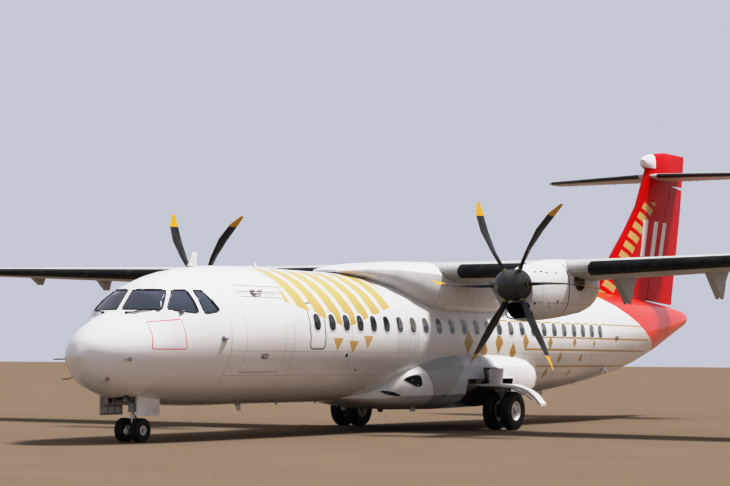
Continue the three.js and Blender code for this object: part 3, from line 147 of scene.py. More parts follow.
def skin(name, angle, reference=None):
    """Smooth faces whose skin breaks where two of them meet at more than the angle. Sheets that lie
    on a reference take its normals, and all other faces then stay flat."""
    group = bpy.data.node_groups.new(name, "GeometryNodeTree")
    for way in ("INPUT", "OUTPUT"):
        group.interface.new_socket("Geometry", in_out=way, socket_type="NodeSocketGeometry")
    body = add_node(group, "NodeGroupInput")[0]
    body = add_node(group, "GeometryNodeRemoveAttribute", {"Geometry": body, "Name": "custom_normal"})[0]
    body = add_node(group, "GeometryNodeMergeByDistance", {"Geometry": body, "Distance": WELD})[0]
    turn = add_node(group, "GeometryNodeInputMeshEdgeAngle")[0]
    gentle = add_node(group, "FunctionNodeCompare", (turn, math.radians(angle)), operation="LESS_THAN")[0]
    body = add_node(group, "GeometryNodeSetShadeSmooth", (body,))[0]
    body = add_node(group, "GeometryNodeSetShadeSmooth", (body, True, gentle), domain="EDGE")[0]
    if reference:
        vector, face = {"data_type": "FLOAT_VECTOR"}, {"data_type": "FLOAT_VECTOR", "domain": "FACE"}
        mesh = add_node(group, "GeometryNodeObjectInfo", {"Object": reference})[-1]
        outward = add_node(group, "GeometryNodeInputNamedAttribute", {"Name": "outward"}, **vector)[0]
        sampled = add_node(group, "GeometryNodeSampleNearestSurface", {"Mesh": mesh, "Value": outward},
                           **vector)[0]
        own = add_node(group, "GeometryNodeInputNormal")[0]
        flat, middle = [add_node(group, "GeometryNodeFieldOnDomain", {"Value": value}, **face)[0]
                        for value in (own, sampled)]
        dot = add_node(group, "ShaderNodeVectorMath", (flat, middle), operation="DOT_PRODUCT")[0]
        lies_on = add_node(group, "FunctionNodeCompare", (dot, math.cos(math.radians(angle))),
                           operation="GREATER_THAN")[0]
        normals = add_node(group, "GeometryNodeSwitch", {"Switch": lies_on, "False": flat, "True": sampled},
                           input_type="VECTOR")[0]
        body = add_node(group, "GeometryNodeSetMeshNormal", {"Mesh": body, "Custom Normal": normals},
                        mode="FREE", domain="CORNER")[0]
    add_node(group, "NodeGroupOutput", (body,))
    return group


sheets = skin("sheet_skin", SHEET_BREAK, cabin_reference())
for name in CABIN_NODES:
    nodes[name].modifiers.new("skin", "NODES").node_group = sheets


class Field:
    """A number that varies over a surface: a place, a distance, or a share from 0 to 1."""

    def __init__(self, tree, socket):
        self.tree = tree
        self.socket = socket

    def calc(self, operation, *others):
        values = [v.socket if isinstance(v, Field) else v for v in (self, *others)]
        return Field(self.tree, add_node(self.tree, "ShaderNodeMath", values, operation=operation)[0])

    __add__ = partialmethod(calc, "ADD")
    __sub__ = partialmethod(calc, "SUBTRACT")
    __mul__ = __and__ = partialmethod(calc, "MULTIPLY")
    __or__ = partialmethod(calc, "MAXIMUM")
    __truediv__ = partialmethod(calc, "DIVIDE")
    __pow__ = partialmethod(calc, "POWER")
    __gt__ = partialmethod(calc, "GREATER_THAN")
    __lt__ = partialmethod(calc, "LESS_THAN")
    __abs__ = partialmethod(calc, "ABSOLUTE")
    near = partialmethod(calc, "COMPARE")
    fold = partialmethod(calc, "PINGPONG")

    def hypot(self, other):
        return (self ** 2 + other ** 2).calc("SQRT")

    def span(self, low, high, to_low, to_high):
        ends = {"Value": self.socket, "From Min": low, "From Max": high, "To Min": to_low, "To Max": to_high}
        return Field(self.tree, add_node(self.tree, "ShaderNodeMapRange", ends)[0])


class Finish:
    """One painted or moulded surface, whose marks are laid out in the aircraft's own metres."""

    def __init__(self, name, colour, **sockets):
        self.material = bpy.data.materials.new(name)
        self.material.use_nodes = True
        self.tree = self.material.node_tree
        self.shader = self.tree.nodes["Principled BSDF"].inputs
        for key, value in sockets.items():
            self.shader[key.replace("_", " ")].default_value = value
        self.place = self.tree.nodes.new("ShaderNodeTexCoord").outputs["Object"]
        axes = add_node(self.tree, "ShaderNodeSeparateXYZ", (self.place,))
        self.x, self.y, self.z = [Field(self.tree, axis) for axis in axes]
        self.out = abs(self.x)
        self.station = self.y - NOSE_Y
        self.colour = colour

    def blend(self, share, under, over):
        under, over = [c if isinstance(c, bpy.types.NodeSocket) else (*c, 1) for c in (under, over)]
        return add_node(self.tree, "ShaderNodeMix", {"Factor": share.socket, "A": under, "B": over},
                        data_type="RGBA")[0]

    def over(self, colour, share):
        """Lays a colour over what is there, as far as the share says."""
        self.colour = self.blend(share, self.colour, colour)

    def noise(self, scale, detail=3, stretch=(1, 1, 1)):
        place = add_node(self.tree, "ShaderNodeMapping", {"Vector": self.place, "Scale": stretch})[0]
        return Field(self.tree, add_node(self.tree, "ShaderNodeTexNoise",
                                         {"Vector": place, "Scale": scale, "Detail": detail})[0])

    def streaks(self, dirt, amount, scale=1.3, stretch=(1, 0.25, 1)):
        """Faint streaks of dirt that the airflow draws along the surface."""
        self.over(dirt, self.noise(scale, 5, stretch).span(0.48, 0.75, 0, amount))

    def done(self, rough, grain, bump=1.0, depth=0.002, height=None):
        """Connects the colour, a roughness that varies by the grain and a fine bump."""
        colour, rough_share = self.colour, self.noise(grain, 4).span(0.35, 0.65, *rough)
        height = height or self.noise(grain * 14, 3)
        bumps = add_node(self.tree, "ShaderNodeBump",
                         {"Strength": bump, "Distance": depth, "Height": height.socket})[0]
        for key, source in (("Base Color", colour), ("Roughness", rough_share.socket), ("Normal", bumps)):
            self.tree.links.new(source, self.shader[key])
        return self.material


def box_gap(across, rise, middle, half, corner):
    """Distance outside a rounded rectangle, below zero inside it."""
    out = [abs(value - centre) - (reach - corner)
           for value, centre, reach in zip((across, rise), middle, half)]
    return (out[0] | 0).hypot(out[1] | 0) + (out[0] | out[1]).calc("MINIMUM", 0) - corner


def box_line(across, rise, middle, half, corner, width):
    return box_gap(across, rise, middle, half, corner).near(0, width / 2)


def dress(finish, *names):
    for name in names:
        for slot in nodes[name].material_slots:
            slot.material = finish


WHITE = (0.8, 0.79, 0.775)
RED = (0.62, 0.004, 0.003)
SWEEP_RED = (1.0, 0.045, 0.02)
GOLD = (0.5, 0.31, 0.085)
PALE_GOLD = (0.62, 0.43, 0.17)
SEAM = (0.16, 0.15, 0.14)
# Dirt; the same colour is also laid on as painted shade under the belly and low on the fairings and cowls.
DIRT_AND_SHADE = (0.34, 0.29, 0.24)
LINING = (0.56, 0.55, 0.51)
SHIELD_GREY = (0.62, 0.62, 0.61)
# Near black, painted in the gear bays as the shade inside them.
BAY_SHADE = (0.045, 0.043, 0.036)
# The flanks, on which marks are laid out in side view, lie farther out than this.
FLANK = 0.25
# Columns: station, height, half width, half height.
LOZENGES = (
    (11.86, 1.98, 0.2, 0.3), (12.6, 1.78, 0.17, 0.25), (13.3, 1.98, 0.19, 0.28), (14.0, 1.76, 0.16, 0.24),
    (14.62, 2.02, 0.15, 0.23), (15.9, 2.0, 0.12, 0.18), (16.55, 1.63, 0.1, 0.16), (17.25, 2.02, 0.09, 0.14),
    (17.8, 1.63, 0.08, 0.12), (18.45, 2.0, 0.06, 0.1), (16.1, 1.25, 0.12, 0.14), (17.5, 1.26, 0.09, 0.11),
)
# Gold lines along the rear cabin. Columns: height, half width, first station.
GOLD_LINES = ((2.49, 0.014, 13.0), (2.13, 0.018, 15.1), (1.83, 0.021, 14.6), (1.43, 0.019, 15.4))
LINES_END = 22.6
# Triangles below the forward windows, as station and height, their half height and how steep they are.
GOLD_TRIANGLES = ((6.47, 1.87), (7.06, 1.82), (7.61, 1.93))
TRIANGLE_HALF, TRIANGLE_STEEP = 0.13, 1.4
# Bars on the shoulder: a first station, pitch and width along the cabin, lean, and their middle station,
# reach, top, and the foot in the middle with its rise towards the ends.
BAR_FIRST, BAR_PITCH, BAR_WIDTH, BAR_LEAN = 5.9, 0.27, 0.185, 0.42
BAR_MIDDLE, BAR_REACH, BAR_TOP, BAR_FOOT, BAR_RISE = 6.8, 2.0, 3.38, 2.22, 0.24
BAR_WINDOWS = (6.28, 6.81, 7.34, 7.86, 8.38)
# The height of the windows' middles, and the half size and corner of what the bars leave free there.
WINDOW_Z = 2.315
BAR_FREE, BAR_FREE_CORNER = (0.16, 0.21), 0.1
# The line above which the tail is red: station and height of one of its points, and its fall.
SWEEP = (20.59, 2.97, 0.37)
# Joints of the sheets, as stations round the cabin and heights along it.
JOINT_STATIONS = (2.9, 4.9, 7.0, 9.3, 11.9, 14.6, 16.5, 18.4, 21.3)
JOINT_HEIGHTS = (1.25, 1.72, 2.88)
# Rivets beside the round joints: their distance from the joint, half their pitch, and their size.
RIVET_ROW, RIVET_PITCH, RIVET_SIZE = 0.03, 0.0125, 0.005
# The belly is darkened by painted shade below the first height, most below the second, and behind the
# station.
BELLY_SHADE_TOP, BELLY_SHADE_FULL, BELLY_SHADE_START = 1.3, 0.66, 1.2
# Doors and panels that only their outline shows. Columns: side, station, height, half width, half
# height, corner, line width.
EXIT_OUTLINES = ((1, 5.73, 2.235, 0.27, 0.46, 0.09, 0.034), (-1, 19.95, 2.09, 0.33, 0.74, 0.1, 0.016),
                 (-1, 3.9, 1.05, 0.3, 0.24, 0.05, 0.012))
# The nose panel: station of its middle, its lean and taper upwards, its sill and the rise of its top
# edge along the nose, then half width, half height, corner and line width.
NOSE_PANEL = (1.34, 0.106, -0.42, 1.738, 0.19, 0.373, 0.262, 0.05, 0.017)
# Rain gutters above the hold door: station, height, half length.
RAIN_GUTTERS = ((4.15, 2.99, 0.75), (4.13, 2.87, 0.68), (4.15, 2.77, 0.72))
# The plate that ice from the propellers strikes: station, height, half length, half height, corner.
ICE_SHIELD = (9.24, 1.95, 0.48, 0.26, 0.04)
# The nose gear's bay: half width, middle and half length along the aircraft, top.
NOSE_BAY = (0.3305, -12.115, 0.4755, 1.302)
# The linings inside the doors: station, reach along the cabin, half width, half height, middle, and
# how the width and the middle change with the station.
HOLDS = ((3.935, 0.815, 1.32, 1.29, 2.02, 0.0, 0.0), (20.0, 1.14, 1.23, 1.17, 2.24, -0.059, 0.06))

# Gloss white, darker under the belly by painted shade, with sheet joints and rows of flush rivets beside
# them.
cabin = Finish("cabin_paint", WHITE, Coat_Weight=0.45, Coat_Roughness=0.1)
station, flank = cabin.station, cabin.out > FLANK
cabin.streaks(DIRT_AND_SHADE, 0.14)
belly = cabin.z.span(BELLY_SHADE_TOP, BELLY_SHADE_FULL, 0, 0.5)
cabin.over(DIRT_AND_SHADE, belly & (station > BELLY_SHADE_START))
rings = reduce(or_, [station.near(s, 0.005) for s in JOINT_STATIONS])
along = reduce(or_, [cabin.z.near(z, 0.004) for z in JOINT_HEIGHTS])
along = along & (station > JOINT_STATIONS[0]) & (station < JOINT_STATIONS[-1])
cabin.over(SEAM, (rings | along) * 0.5)
beside_joint = reduce(or_, [abs(station - s).near(RIVET_ROW, 0.006) for s in JOINT_STATIONS])
cabin.over(SEAM, (beside_joint & (cabin.z.fold(RIVET_PITCH) < RIVET_SIZE)) * 0.3)

# Outlines of the exits and hatches, of the nose panel in red, gutters and the ice shield's plate.
for way, s, z, half, tall, corner, width in EXIT_OUTLINES:
    line = box_line(station, cabin.z, (s, z), (half, tall), corner, width)
    cabin.over(SEAM, (line & (cabin.x * way > 0.2)) * 0.85)
s, lean, narrow, sill, rise, half, tall, corner, width = NOSE_PANEL
up = cabin.z - sill
across = (station - (up * lean + s)) / (up * narrow + 1)
line = box_line(across, up / (station * rise + (1 - rise * s)), (0, tall), (half, tall), corner, width)
cabin.over(RED, (line & (cabin.x > 0.2)) * 0.75)
for s, z, half in RAIN_GUTTERS:
    cabin.over(SEAM, (cabin.z.near(z, 0.011) & station.near(s, half) & flank) * 0.7)
s, z, half, tall, corner = ICE_SHIELD
cabin.over(SHIELD_GREY, ((box_gap(station, cabin.z, (s, z), (half, tall), corner) < 0) & flank) * 0.5)

# Gold: lines, lozenges that shrink towards the tail, triangles, and slanted bars round the windows.
lines = reduce(or_, [cabin.z.near(z, half) & (station > first) for z, half, first in GOLD_LINES])
cabin.over(GOLD, lines & (station < LINES_END) & flank)
marks = [abs(station - s) / half + abs(cabin.z - z) / tall < 1 for s, z, half, tall in LOZENGES]
cabin.over(GOLD, reduce(or_, marks) & flank)
for s, z in GOLD_TRIANGLES:
    wedge = abs(station - s) * TRIANGLE_STEEP < cabin.z + (TRIANGLE_HALF - z)
    cabin.over(PALE_GOLD, wedge & (cabin.z < z + TRIANGLE_HALF) & flank)
bar = (station + cabin.z * BAR_LEAN - BAR_FIRST).fold(BAR_PITCH) < BAR_WIDTH
centre = abs(station - BAR_MIDDLE)
window = reduce(or_, [box_gap(station, cabin.z, (s, WINDOW_Z), BAR_FREE, BAR_FREE_CORNER) < 0
                      for s in BAR_WINDOWS])
bar = bar & (cabin.z > centre * BAR_RISE + BAR_FOOT) & (centre < BAR_REACH) & (cabin.z < BAR_TOP)
cabin.over(PALE_GOLD, bar & (window < 0.5))

# The red sweep up to the fin. The nose bay is painted near black as the shade inside it, and the linings in
# the holds are plain.
s, z, fall = SWEEP
cabin.over(SWEEP_RED, cabin.z > station * -fall + (z + fall * s))
half, y, long, top = NOSE_BAY
cabin.over(BAY_SHADE, cabin.x.near(0, half) & cabin.y.near(y, long) & (cabin.z < top))
for s, reach, wide, tall, z, taper, rise in HOLDS:
    along = station - s
    inside = (cabin.x / wide).hypot((cabin.z - (along * rise + z)) / tall)
    cabin.over(LINING, (inside < along * taper + 1) & along.near(0, reach))
dress(cabin.done((0.2, 0.32), 1.6, 0.05, 0.003), *CABIN_NODES)

# Cockpit windows. Laminated heated glass, three panes each side, clamped by white posts and sealed
# with black rubber. The glazing block below them carries the posts' paint.
# Corners of each pane's top, middle and bottom: across the aircraft for the front ones and along it
# for the side ones, then height.
FRONT_PANE = (
    ((0.05, 2.852), (0.594, 2.852)), ((0.05, 2.66), (0.733, 2.654)), ((0.05, 2.472), (0.812, 2.455)),
)
SIDE_PANES = (
    (((1.889, 2.845), (2.165, 2.855)), ((1.682, 2.655), (2.145, 2.63)), ((1.502, 2.469), (2.137, 2.408))),
    (((2.296, 2.852), (2.502, 2.858)), ((2.265, 2.63), (2.594, 2.659)), ((2.257, 2.404), (2.683, 2.465))),
)
# Rings of a pane: share of its size, above the posts.
COCKPIT_PANE = ((1.0, -0.004), (1.0, 0.009), (0.985, 0.012), (0.95, 0.014), (0.9, 0.015), (0.82, 0.016),
                *((share, 0.017) for share in (0.7, 0.55, 0.4, 0.25, 0.1, 0.02)))
SEAL_RADIUS, SEAL_LIFT = 0.0065, 0.008
# Rays that find a skin start this far outside it.
AFAR = 8


def tree_of(*names):
    """What rays are cast on: the nodes' faces, which lie where they are seen."""
    meshes = [nodes[name].data for name in names]
    return BVHTree.FromPolygons(*joined([([v.co for v in mesh.vertices], [p.vertices for p in mesh.polygons])
                                         for mesh in meshes]))


def landing(tree, start, toward, lift=0.0):
    """Where a ray meets the skin, lifted off it, with the skin's normal."""
    toward = Vector(toward).normalized()
    point, normal, _, _ = tree.ray_cast(Vector(start), toward)
    if normal.dot(toward) > 0:
        normal = -normal
    return point + normal * lift, normal


def beside(tree, side, station, z, lift=0.0):
    return landing(tree, (side * AFAR, NOSE_Y + station, z), (-side, 0, 0), lift)


def sculpted(name, shapes, finish, body="airframe", smooth=35):
    """One piece from several shapes, whose faces break where they meet at more than an angle."""
    mesh = mesh_of(name, shapes)
    work = bmesh.new()
    work.from_mesh(mesh)
    bmesh.ops.recalc_face_normals(work, faces=work.faces)
    work.to_mesh(mesh)
    work.free()
    mesh.shade_smooth()
    mesh.set_sharp_from_angle(angle=math.radians(smooth))
    mesh.materials.append(finish)
    piece = placed(name, mesh)
    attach(piece, body)
    return piece


def tube(points, radius, sides=12):
    """A round bar or pipe along points. The radius may be one number or one for each point."""
    points = [Vector(p) for p in points]
    radii = radius if isinstance(radius, (list, tuple)) else [radius] * len(points)
    rings = []
    side = (points[1] - points[0]).normalized().orthogonal()
    for k, point in enumerate(points):
        along = (points[min(k + 1, len(points) - 1)] - points[max(k - 1, 0)]).normalized()
        side = (side - along * side.dot(along)).normalized()
        rings.append([point + (side * c + along.cross(side) * s) * radii[k] for c, s in circle(sides)])
    return loft(rings)


def closed_tube(points, radius, sides):
    return tube(points + points[:1], radius, sides)


def oval(half_width, half_height, power, count):
    """Points round an oval whose corners fill as the power grows."""
    return [(math.copysign(abs(c) ** (2 / power), c) * half_width,
             math.copysign(abs(s) ** (2 / power), s) * half_height) for c, s in circle(count)]


def mottled(name, scale, colours, rough, grain, bump, **sockets):
    """A surface whose colour wanders between two."""
    paint = Finish(name, colours[0], **sockets)
    paint.over(colours[1], paint.noise(scale))
    return paint.done(rough, grain, bump)


def pane_ring(side, rows, share, lift):
    ring = []
    for across, down in oval(0.5 * share, 0.5 * share, 9, 56):
        u, v = 0.5 + across, 0.5 + down
        weights = ((1 - v) * (1 - 2 * v), 4 * v * (1 - v), v * (2 * v - 1))
        place, z = [sum(w * (row[0][k] * (1 - u) + row[1][k] * u) for w, row in zip(weights, rows))
                    for k in (0, 1)]
        start, toward = ((side * AFAR, NOSE_Y + place, z), (-side, 0, 0))
        if rows is FRONT_PANE:
            start, toward = ((side * place, -14, z), (0, 1, 0))
        ring.append(landing(cabin_tree, start, toward, lift)[0])
    return ring


cabin_tree = tree_of(*CABIN_NODES)
glass = Finish("cockpit_glass", (0.04, 0.055, 0.075), IOR=1.52, Coat_Weight=1.0, Coat_Roughness=0.02)
# The panes grow paler and bluer towards their tops: a painted reflection of the sky.
sky_reflection = glass.blend(glass.noise(1.1, 1), (0.075, 0.12, 0.19), (0.16, 0.15, 0.17))
glass.over(sky_reflection, glass.z.span(2.45, 2.86, 0.15, 0.9) & glass.noise(1.7, 2))
cockpit_glass = glass.done((0.03, 0.08), 2, 0.01)
seal_rubber = mottled("seal_rubber", 50, ((0.012, 0.012, 0.012), (0.04, 0.038, 0.035)), (0.6, 0.8), 30, 0.1)
panes, seals = [], []
for side, _ in SIDES:
    for rows in (FRONT_PANE, *SIDE_PANES):
        panes.append(loft([pane_ring(side, rows, *row) for row in COCKPIT_PANE]))
        seals.append(closed_tube(pane_ring(side, rows, 1.0, SEAL_LIFT), SEAL_RADIUS, 8))
sculpted("cockpit_panes", panes, cockpit_glass)
sculpted("cockpit_seals", seals, seal_rubber)

# Cabin windows. Stretched acrylic panes, each set in a forged aluminium frame that stands a few
# millimetres proud of the sheet and is riveted to it. There are 25 on each side.
WINDOW_STATIONS = (
    5.73, 6.28, 6.81, 7.34, 7.86, 8.38, 8.92, 9.47, 10.0, 10.58, 11.15, 11.71, 12.27, 12.81, 13.35, 13.92,
    14.48, 15.05, 15.61, 16.15, 16.69, 17.24, 17.76, 18.29, 18.82,
)
WINDOW_HALF = (0.113, 0.165)
# Blinds hang to between these heights, in the windows behind this place.
BLIND_LOW, BLIND_HIGH, BLINDS_START = WINDOW_Z - 0.13, WINDOW_Z + 0.06, -4.7
# Section across a frame: outward from the pane's edge, above the sheet.
WINDOW_FRAME = ((0.03, -0.004), (0.03, 0.001), (0.026, 0.004), (0.008, 0.0055), (0.0, 0.0025), (0.0, -0.004))
# Rings of a pane: share of its size, above the sheet.
WINDOW_PANE = ((1.0, -0.003), (1.0, 0.0025), (0.97, 0.0033), (0.7, 0.0036), (0.4, 0.0037), (0.12, 0.0037))


def streaked(name, colour, dirt, amount, scale, rough, grain, bump, stretch=(1, 0.25, 1), **sockets):
    paint = Finish(name, colour, **sockets)
    paint.streaks(dirt, amount, scale, stretch)
    return paint.done(rough, grain, bump)


def window_ring(side, station, half, lift):
    return [beside(cabin_tree, side, station + across, WINDOW_Z + rise, lift)[0]
            for across, rise in oval(*half, 2.7, 28)]


frame_white = streaked("window_frame_white", (0.74, 0.74, 0.72), (0.4, 0.38, 0.34), 0.3, 9, (0.25, 0.4), 9,
                       0.05, Coat_Weight=0.3)
glass = Finish("cabin_pane", (0.012, 0.017, 0.02), IOR=1.49, Coat_Weight=1.0, Coat_Roughness=0.03)
glass.over((0.05, 0.062, 0.068), glass.noise(2.3))
# Blinds behind the panes hang at different heights.
hem = glass.noise(1.9, 0, (0, 1, 0)).span(0.3, 0.7, BLIND_LOW, BLIND_HIGH)
glass.over((0.2, 0.185, 0.17), (glass.z > hem) & (glass.y > BLINDS_START))
pane_glass = glass.done((0.05, 0.12), 3, 0.01)
for side, word in SIDES:
    frames, panes = [], []
    for station in WINDOW_STATIONS:
        rings = [window_ring(side, station, [h + out for h in WINDOW_HALF], lift)
                 for out, lift in WINDOW_FRAME]
        frames.append(loft(rings + rings[:1], caps=False))
        panes.append(loft([window_ring(side, station, [h * share for h in WINDOW_HALF], lift)
                           for share, lift in WINDOW_PANE]))
    sculpted(f"window_frames_{word}", frames, frame_white)
    sculpted(f"window_panes_{word}", panes, pane_glass)

# Probes and wipers. Heated steel pitot tubes on forged masts, flat vanes that follow the air, and
# wiper arms of black steel tube with rubber blades, bolted below the windscreen.
# Columns: side, station, height, mast length, tube length.
PITOTS = ((1, 0.58, 1.55, 0.085, 0.2), (-1, 0.58, 1.55, 0.085, 0.2), (1, 0.39, 1.19, 0.08, 0.18),
          (-1, 0.62, 1.22, 0.08, 0.18))
# Columns: station, height, plate radius, vane length.
VANES = ((1.73, 2.42, 0.045, 0.1), (2.65, 1.94, 0.05, 0.12))
# Corners of a vane: share of its length, share of its thickness.
VANE_SECTION = ((-0.01, 0), (0.3, 0.8), (1, 0.15), (1, -0.15), (0.3, -0.8))
# Columns: foot, tip, and the blade's end, each as x and station, of the port arm and the starboard one.
WIPERS = (((0.262, 1.057), (0.44, 1.2), (0.78, 1.4)), ((-0.347, 1.133), (-0.623, 1.284), (-0.76, 1.38)))
ARM_RADII = [0.012, 0.011, 0.01, 0.01, 0.009, 0.009, 0.008, 0.008, 0.008]


def disc(point, normal, radius, height):
    """A low round plate with a bevelled edge, standing on the skin."""
    return tube([point + normal * h for h in (-0.006, height * 0.7, height)],
                [radius, radius, radius * 0.88], 20)


shapes = []
ahead = Vector((0, -1, 0))
for side, station, z, mast, long in PITOTS:
    foot, normal = beside(cabin_tree, side, station, z)
    head = foot + normal * mast + ahead * 0.05
    shapes += [
        disc(foot, normal, 0.04, 0.006),
        tube([foot - normal * 0.01, foot + normal * mast * 0.5 + ahead * 0.01, head], [0.014, 0.011, 0.009]),
        tube([head + ahead * d for d in (-0.03, 0, long * 0.6, long * 0.95, long)],
             [0.006, 0.0105, 0.0105, 0.007, 0.004]),
    ]
for side, _ in SIDES:
    for station, z, plate, long in VANES:
        foot, normal = beside(cabin_tree, side, station, z)
        rise = normal.cross(-ahead) * 0.006
        section = [rise * t - ahead * (b * long if b > 0 else b) for b, t in VANE_SECTION]
        vane = loft([[foot + normal * d + corner for corner in section] for d in (-0.004, 0.03, 0.085)])
        shapes += [disc(foot, normal, plate, 0.008), vane]
probe_steel = mottled("probe_steel", 30, ((0.36, 0.33, 0.29), (0.55, 0.53, 0.5)), (0.25, 0.5), 25, 0.05,
                      Metallic=1.0)
sculpted("air_data_probes", shapes, probe_steel)

glass_tree = tree_of("cockpit_glazing", "cockpit_section", "radome")
wiper_black = mottled("wiper_black", 40, ((0.012, 0.012, 0.013), (0.03, 0.03, 0.03)), (0.4, 0.6), 30, 0.08)
shapes = []
for foot, tip, end in WIPERS:
    base = landing(glass_tree, (foot[0], NOSE_Y + foot[1], 4), (0, 0, -1))[0]
    shapes.append(tube([base + Vector((0, 0, h)) for h in (-0.02, 0.03, 0.034)], [0.024, 0.022, 0.014], 16))
    for first, last, start, lift, radii in ((foot, tip, 0, 0.024, ARM_RADII), (tip, end, -0.5, 0.014, 0.008)):
        line = []
        for k in range(9):
            x, s = [a + (b - a) * (start + (1 - start) * k / 8) for a, b in zip(first, last)]
            line.append(landing(glass_tree, (x, NOSE_Y + s, 4), (0, 0, -1), lift)[0])
        shapes.append(tube(line, radii, 8))
sculpted("windscreen_wipers", shapes, wiper_black)

# Fairings over the wing joint and the landing gear. Honeycomb panels between glass-fibre skins,
# screwed to the fuselage along their edges. Their lower panels carry painted shadow of the nacelle and
# wing in greys, and painted shade that darkens them towards the bottom.
PANEL_BREAK = 34
# Station and lean of the front edge of each zone of painted shadow on the lower panels, and its grey.
SHADOW_ZONES = (
    (9.86, 0.42, (0.4, 0.395, 0.385)), (11.18, -0.9, (0.52, 0.54, 0.56)), (12.5, -0.55, (0.78, 0.77, 0.755)),
)
# Wheel bays: middle and half length along the aircraft, top, and least distance out.
WHEEL_BAYS = ((-1.34, 1.012, 1.152, 0.698), (-1.325, 0.327, 1.402, 0.998))
PANEL_PITCH = 0.75


def both(*names):
    return [f"{name}_{word}" for name in names for _, word in SIDES]


panels = skin("panel_skin", PANEL_BREAK)
for name, node in nodes.items():
    if name not in CABIN_NODES:
        node.modifiers.new("skin", "NODES").node_group = panels

paint = Finish("fairing_paint", WHITE, Coat_Weight=0.35, Coat_Roughness=0.15)
low = paint.z < 2.0
paint.streaks(DIRT_AND_SHADE, 0.2)
for first, lean, tone in SHADOW_ZONES:
    edge = paint.station + (paint.z - 1.45) * lean
    paint.over(tone, low & (edge > first))
    paint.over(SEAM, (low & edge.near(first, 0.006)) * 0.6)
# Painted shade, broken up by noise, darkens the lower panels towards the bottom.
low_shade = paint.z.span(1.1, 0.45, 0, 0.55) & paint.noise(2.2, 5, (1, 0.4, 1)).span(0.3, 0.7, 0.5, 1)
paint.over(DIRT_AND_SHADE, low & low_shade)
# The wheel bays are painted near black: painted shade in the recesses.
bays = [paint.y.near(y, half) & (paint.z < top) & (paint.out > least) for y, half, top, least in WHEEL_BAYS]
paint.over(BAY_SHADE, reduce(or_, bays))
joints = paint.station.fold(PANEL_PITCH)
screws = joints.near(0.02, 0.005) & (paint.z.fold(0.03) < 0.008)
paint.over(SEAM, (joints.near(0, 0.004) | screws) * 0.35)
dress(paint.done((0.24, 0.42), 2.2, 0.05, 0.003), "gear_fairing", "wing_fairing")

# Aerials. Glass-fibre blades on the roof and under the belly and low pucks on the roof, screwed to
# doublers with a sealed foot plate.
# Columns: station, root chord, tip chord, height, which is negative under the belly, half thickness.
BLADES = (
    (3.38, 0.26, 0.13, 0.27, 0.0165), (4.95, 0.14, 0.09, -0.13, 0.0165), (18.1, 0.14, 0.1, -0.12, 0.0165),
    (17.4, 0.25, 0.13, 0.27, 0.0165), (6.3, 0.05, 0.035, -0.045, 0.006), (7.75, 0.035, 0.025, -0.035, 0.006),
    (19.9, 0.1, 0.07, -0.07, 0.006), (19.1, 0.1, 0.07, 0.1, 0.006),
)
BLADE_SWEEP = 0.025
# Sections up a blade: share of the height, of the chord and of the thickness.
BLADE_SECTIONS = ((-0.1, 1, 1), (0, 1, 1), (0.5, 1, 1), (0.96, 1, 1), (1.01, 0.96, 0.8), (1.03, 0.8, 0.4))
# Rings of the foot plate: share of the root chord, above the skin.
FOOT_PLATE = ((0.64, -0.02), (0.64, 0.005), (0.58, 0.009))
# Pucks: station, x, half width, half length, points round it, and rings as share and height.
PUCKS = (
    (5.95, 0.16, 0.05, 0.0675, 24, ((1, -0.02), (1, 0.004), (0.9, 0.0108), (0.6, 0.018), (0.1, 0.02))),
    (18.2, 0.0, 0.1, 0.135, 24, ((1, -0.02), (1, 0.004), (0.9, 0.018), (0.6, 0.03), (0.1, 0.032))),
    (20.0, 0.0, 0.09, 0.1215, 24, ((1, -0.02), (1, 0.004), (0.9, 0.018), (0.6, 0.03), (0.1, 0.032))),
    (5.5, 0.0, 0.03, 0.05, 20, ((1, -0.02), (1, 0.01), (0.8, 0.05), (0.35, 0.09), (0.1, 0.1))),
)


def skin_z(station, x, up=True):
    """The height of the cabin's skin, above its waist or below it."""
    low, high = next(pair for pair in zip(CABIN_FRAMES, CABIN_FRAMES[1:]) if station <= pair[1][0])
    share = (station - low[0]) / (high[0] - low[0])
    _, half_width, top, bottom, waist = [a + (b - a) * share for a, b in zip(low, high)]
    return waist + ((top if up else bottom) - waist) * math.sqrt(1 - (x / half_width) ** 2)


shapes = []
for station, root, tip, height, half in BLADES:
    foot = skin_z(station, 0, height > 0)
    rings = []
    for share, long, thick in BLADE_SECTIONS:
        chord = root + (tip - root) * min(max(share, 0), 1) + 0.016
        centre = NOSE_Y + station + root / 2 + 0.008 + BLADE_SWEEP * share - chord / 2
        rings.append([(across * thick, centre + along * long, foot + height * share)
                      for along, across in oval(chord / 2, half, 4, 24)])
    plate = [[(across, NOSE_Y + station + along, foot + math.copysign(rise, height))
              for along, across in oval(root * grow, half * 4 * grow, 2.6, 28)] for grow, rise in FOOT_PLATE]
    shapes += [loft(rings), loft(plate)]
for station, x, wide, long, count, rings in PUCKS:
    foot = skin_z(station, x)
    shapes.append(loft([[(x + across * share, NOSE_Y + station + along * share, foot + rise)
                         for across, along in oval(wide, long, 2, count)] for share, rise in rings]))
aerial_white = streaked("aerial_white", (0.74, 0.735, 0.72), (0.3, 0.27, 0.23), 0.4, 14, (0.35, 0.55), 12,
                        0.06, Coat_Weight=0.2)
sculpted("aerials", shapes, aerial_white)

# Wing. Machined aluminium box with carbon outer panels, riveted and painted grey. Black rubber
# boots are glued along its leading edge and inflate in spanwise tubes to break the ice.
WING_GREY = (0.5, 0.49, 0.475)
BOOT_BLACK = (0.016, 0.017, 0.019)
RIB_PITCH, SPARS = 0.55, (-2.36, -1.32)
TUBE_PITCH, PATCH_PITCH = 0.03, 0.9

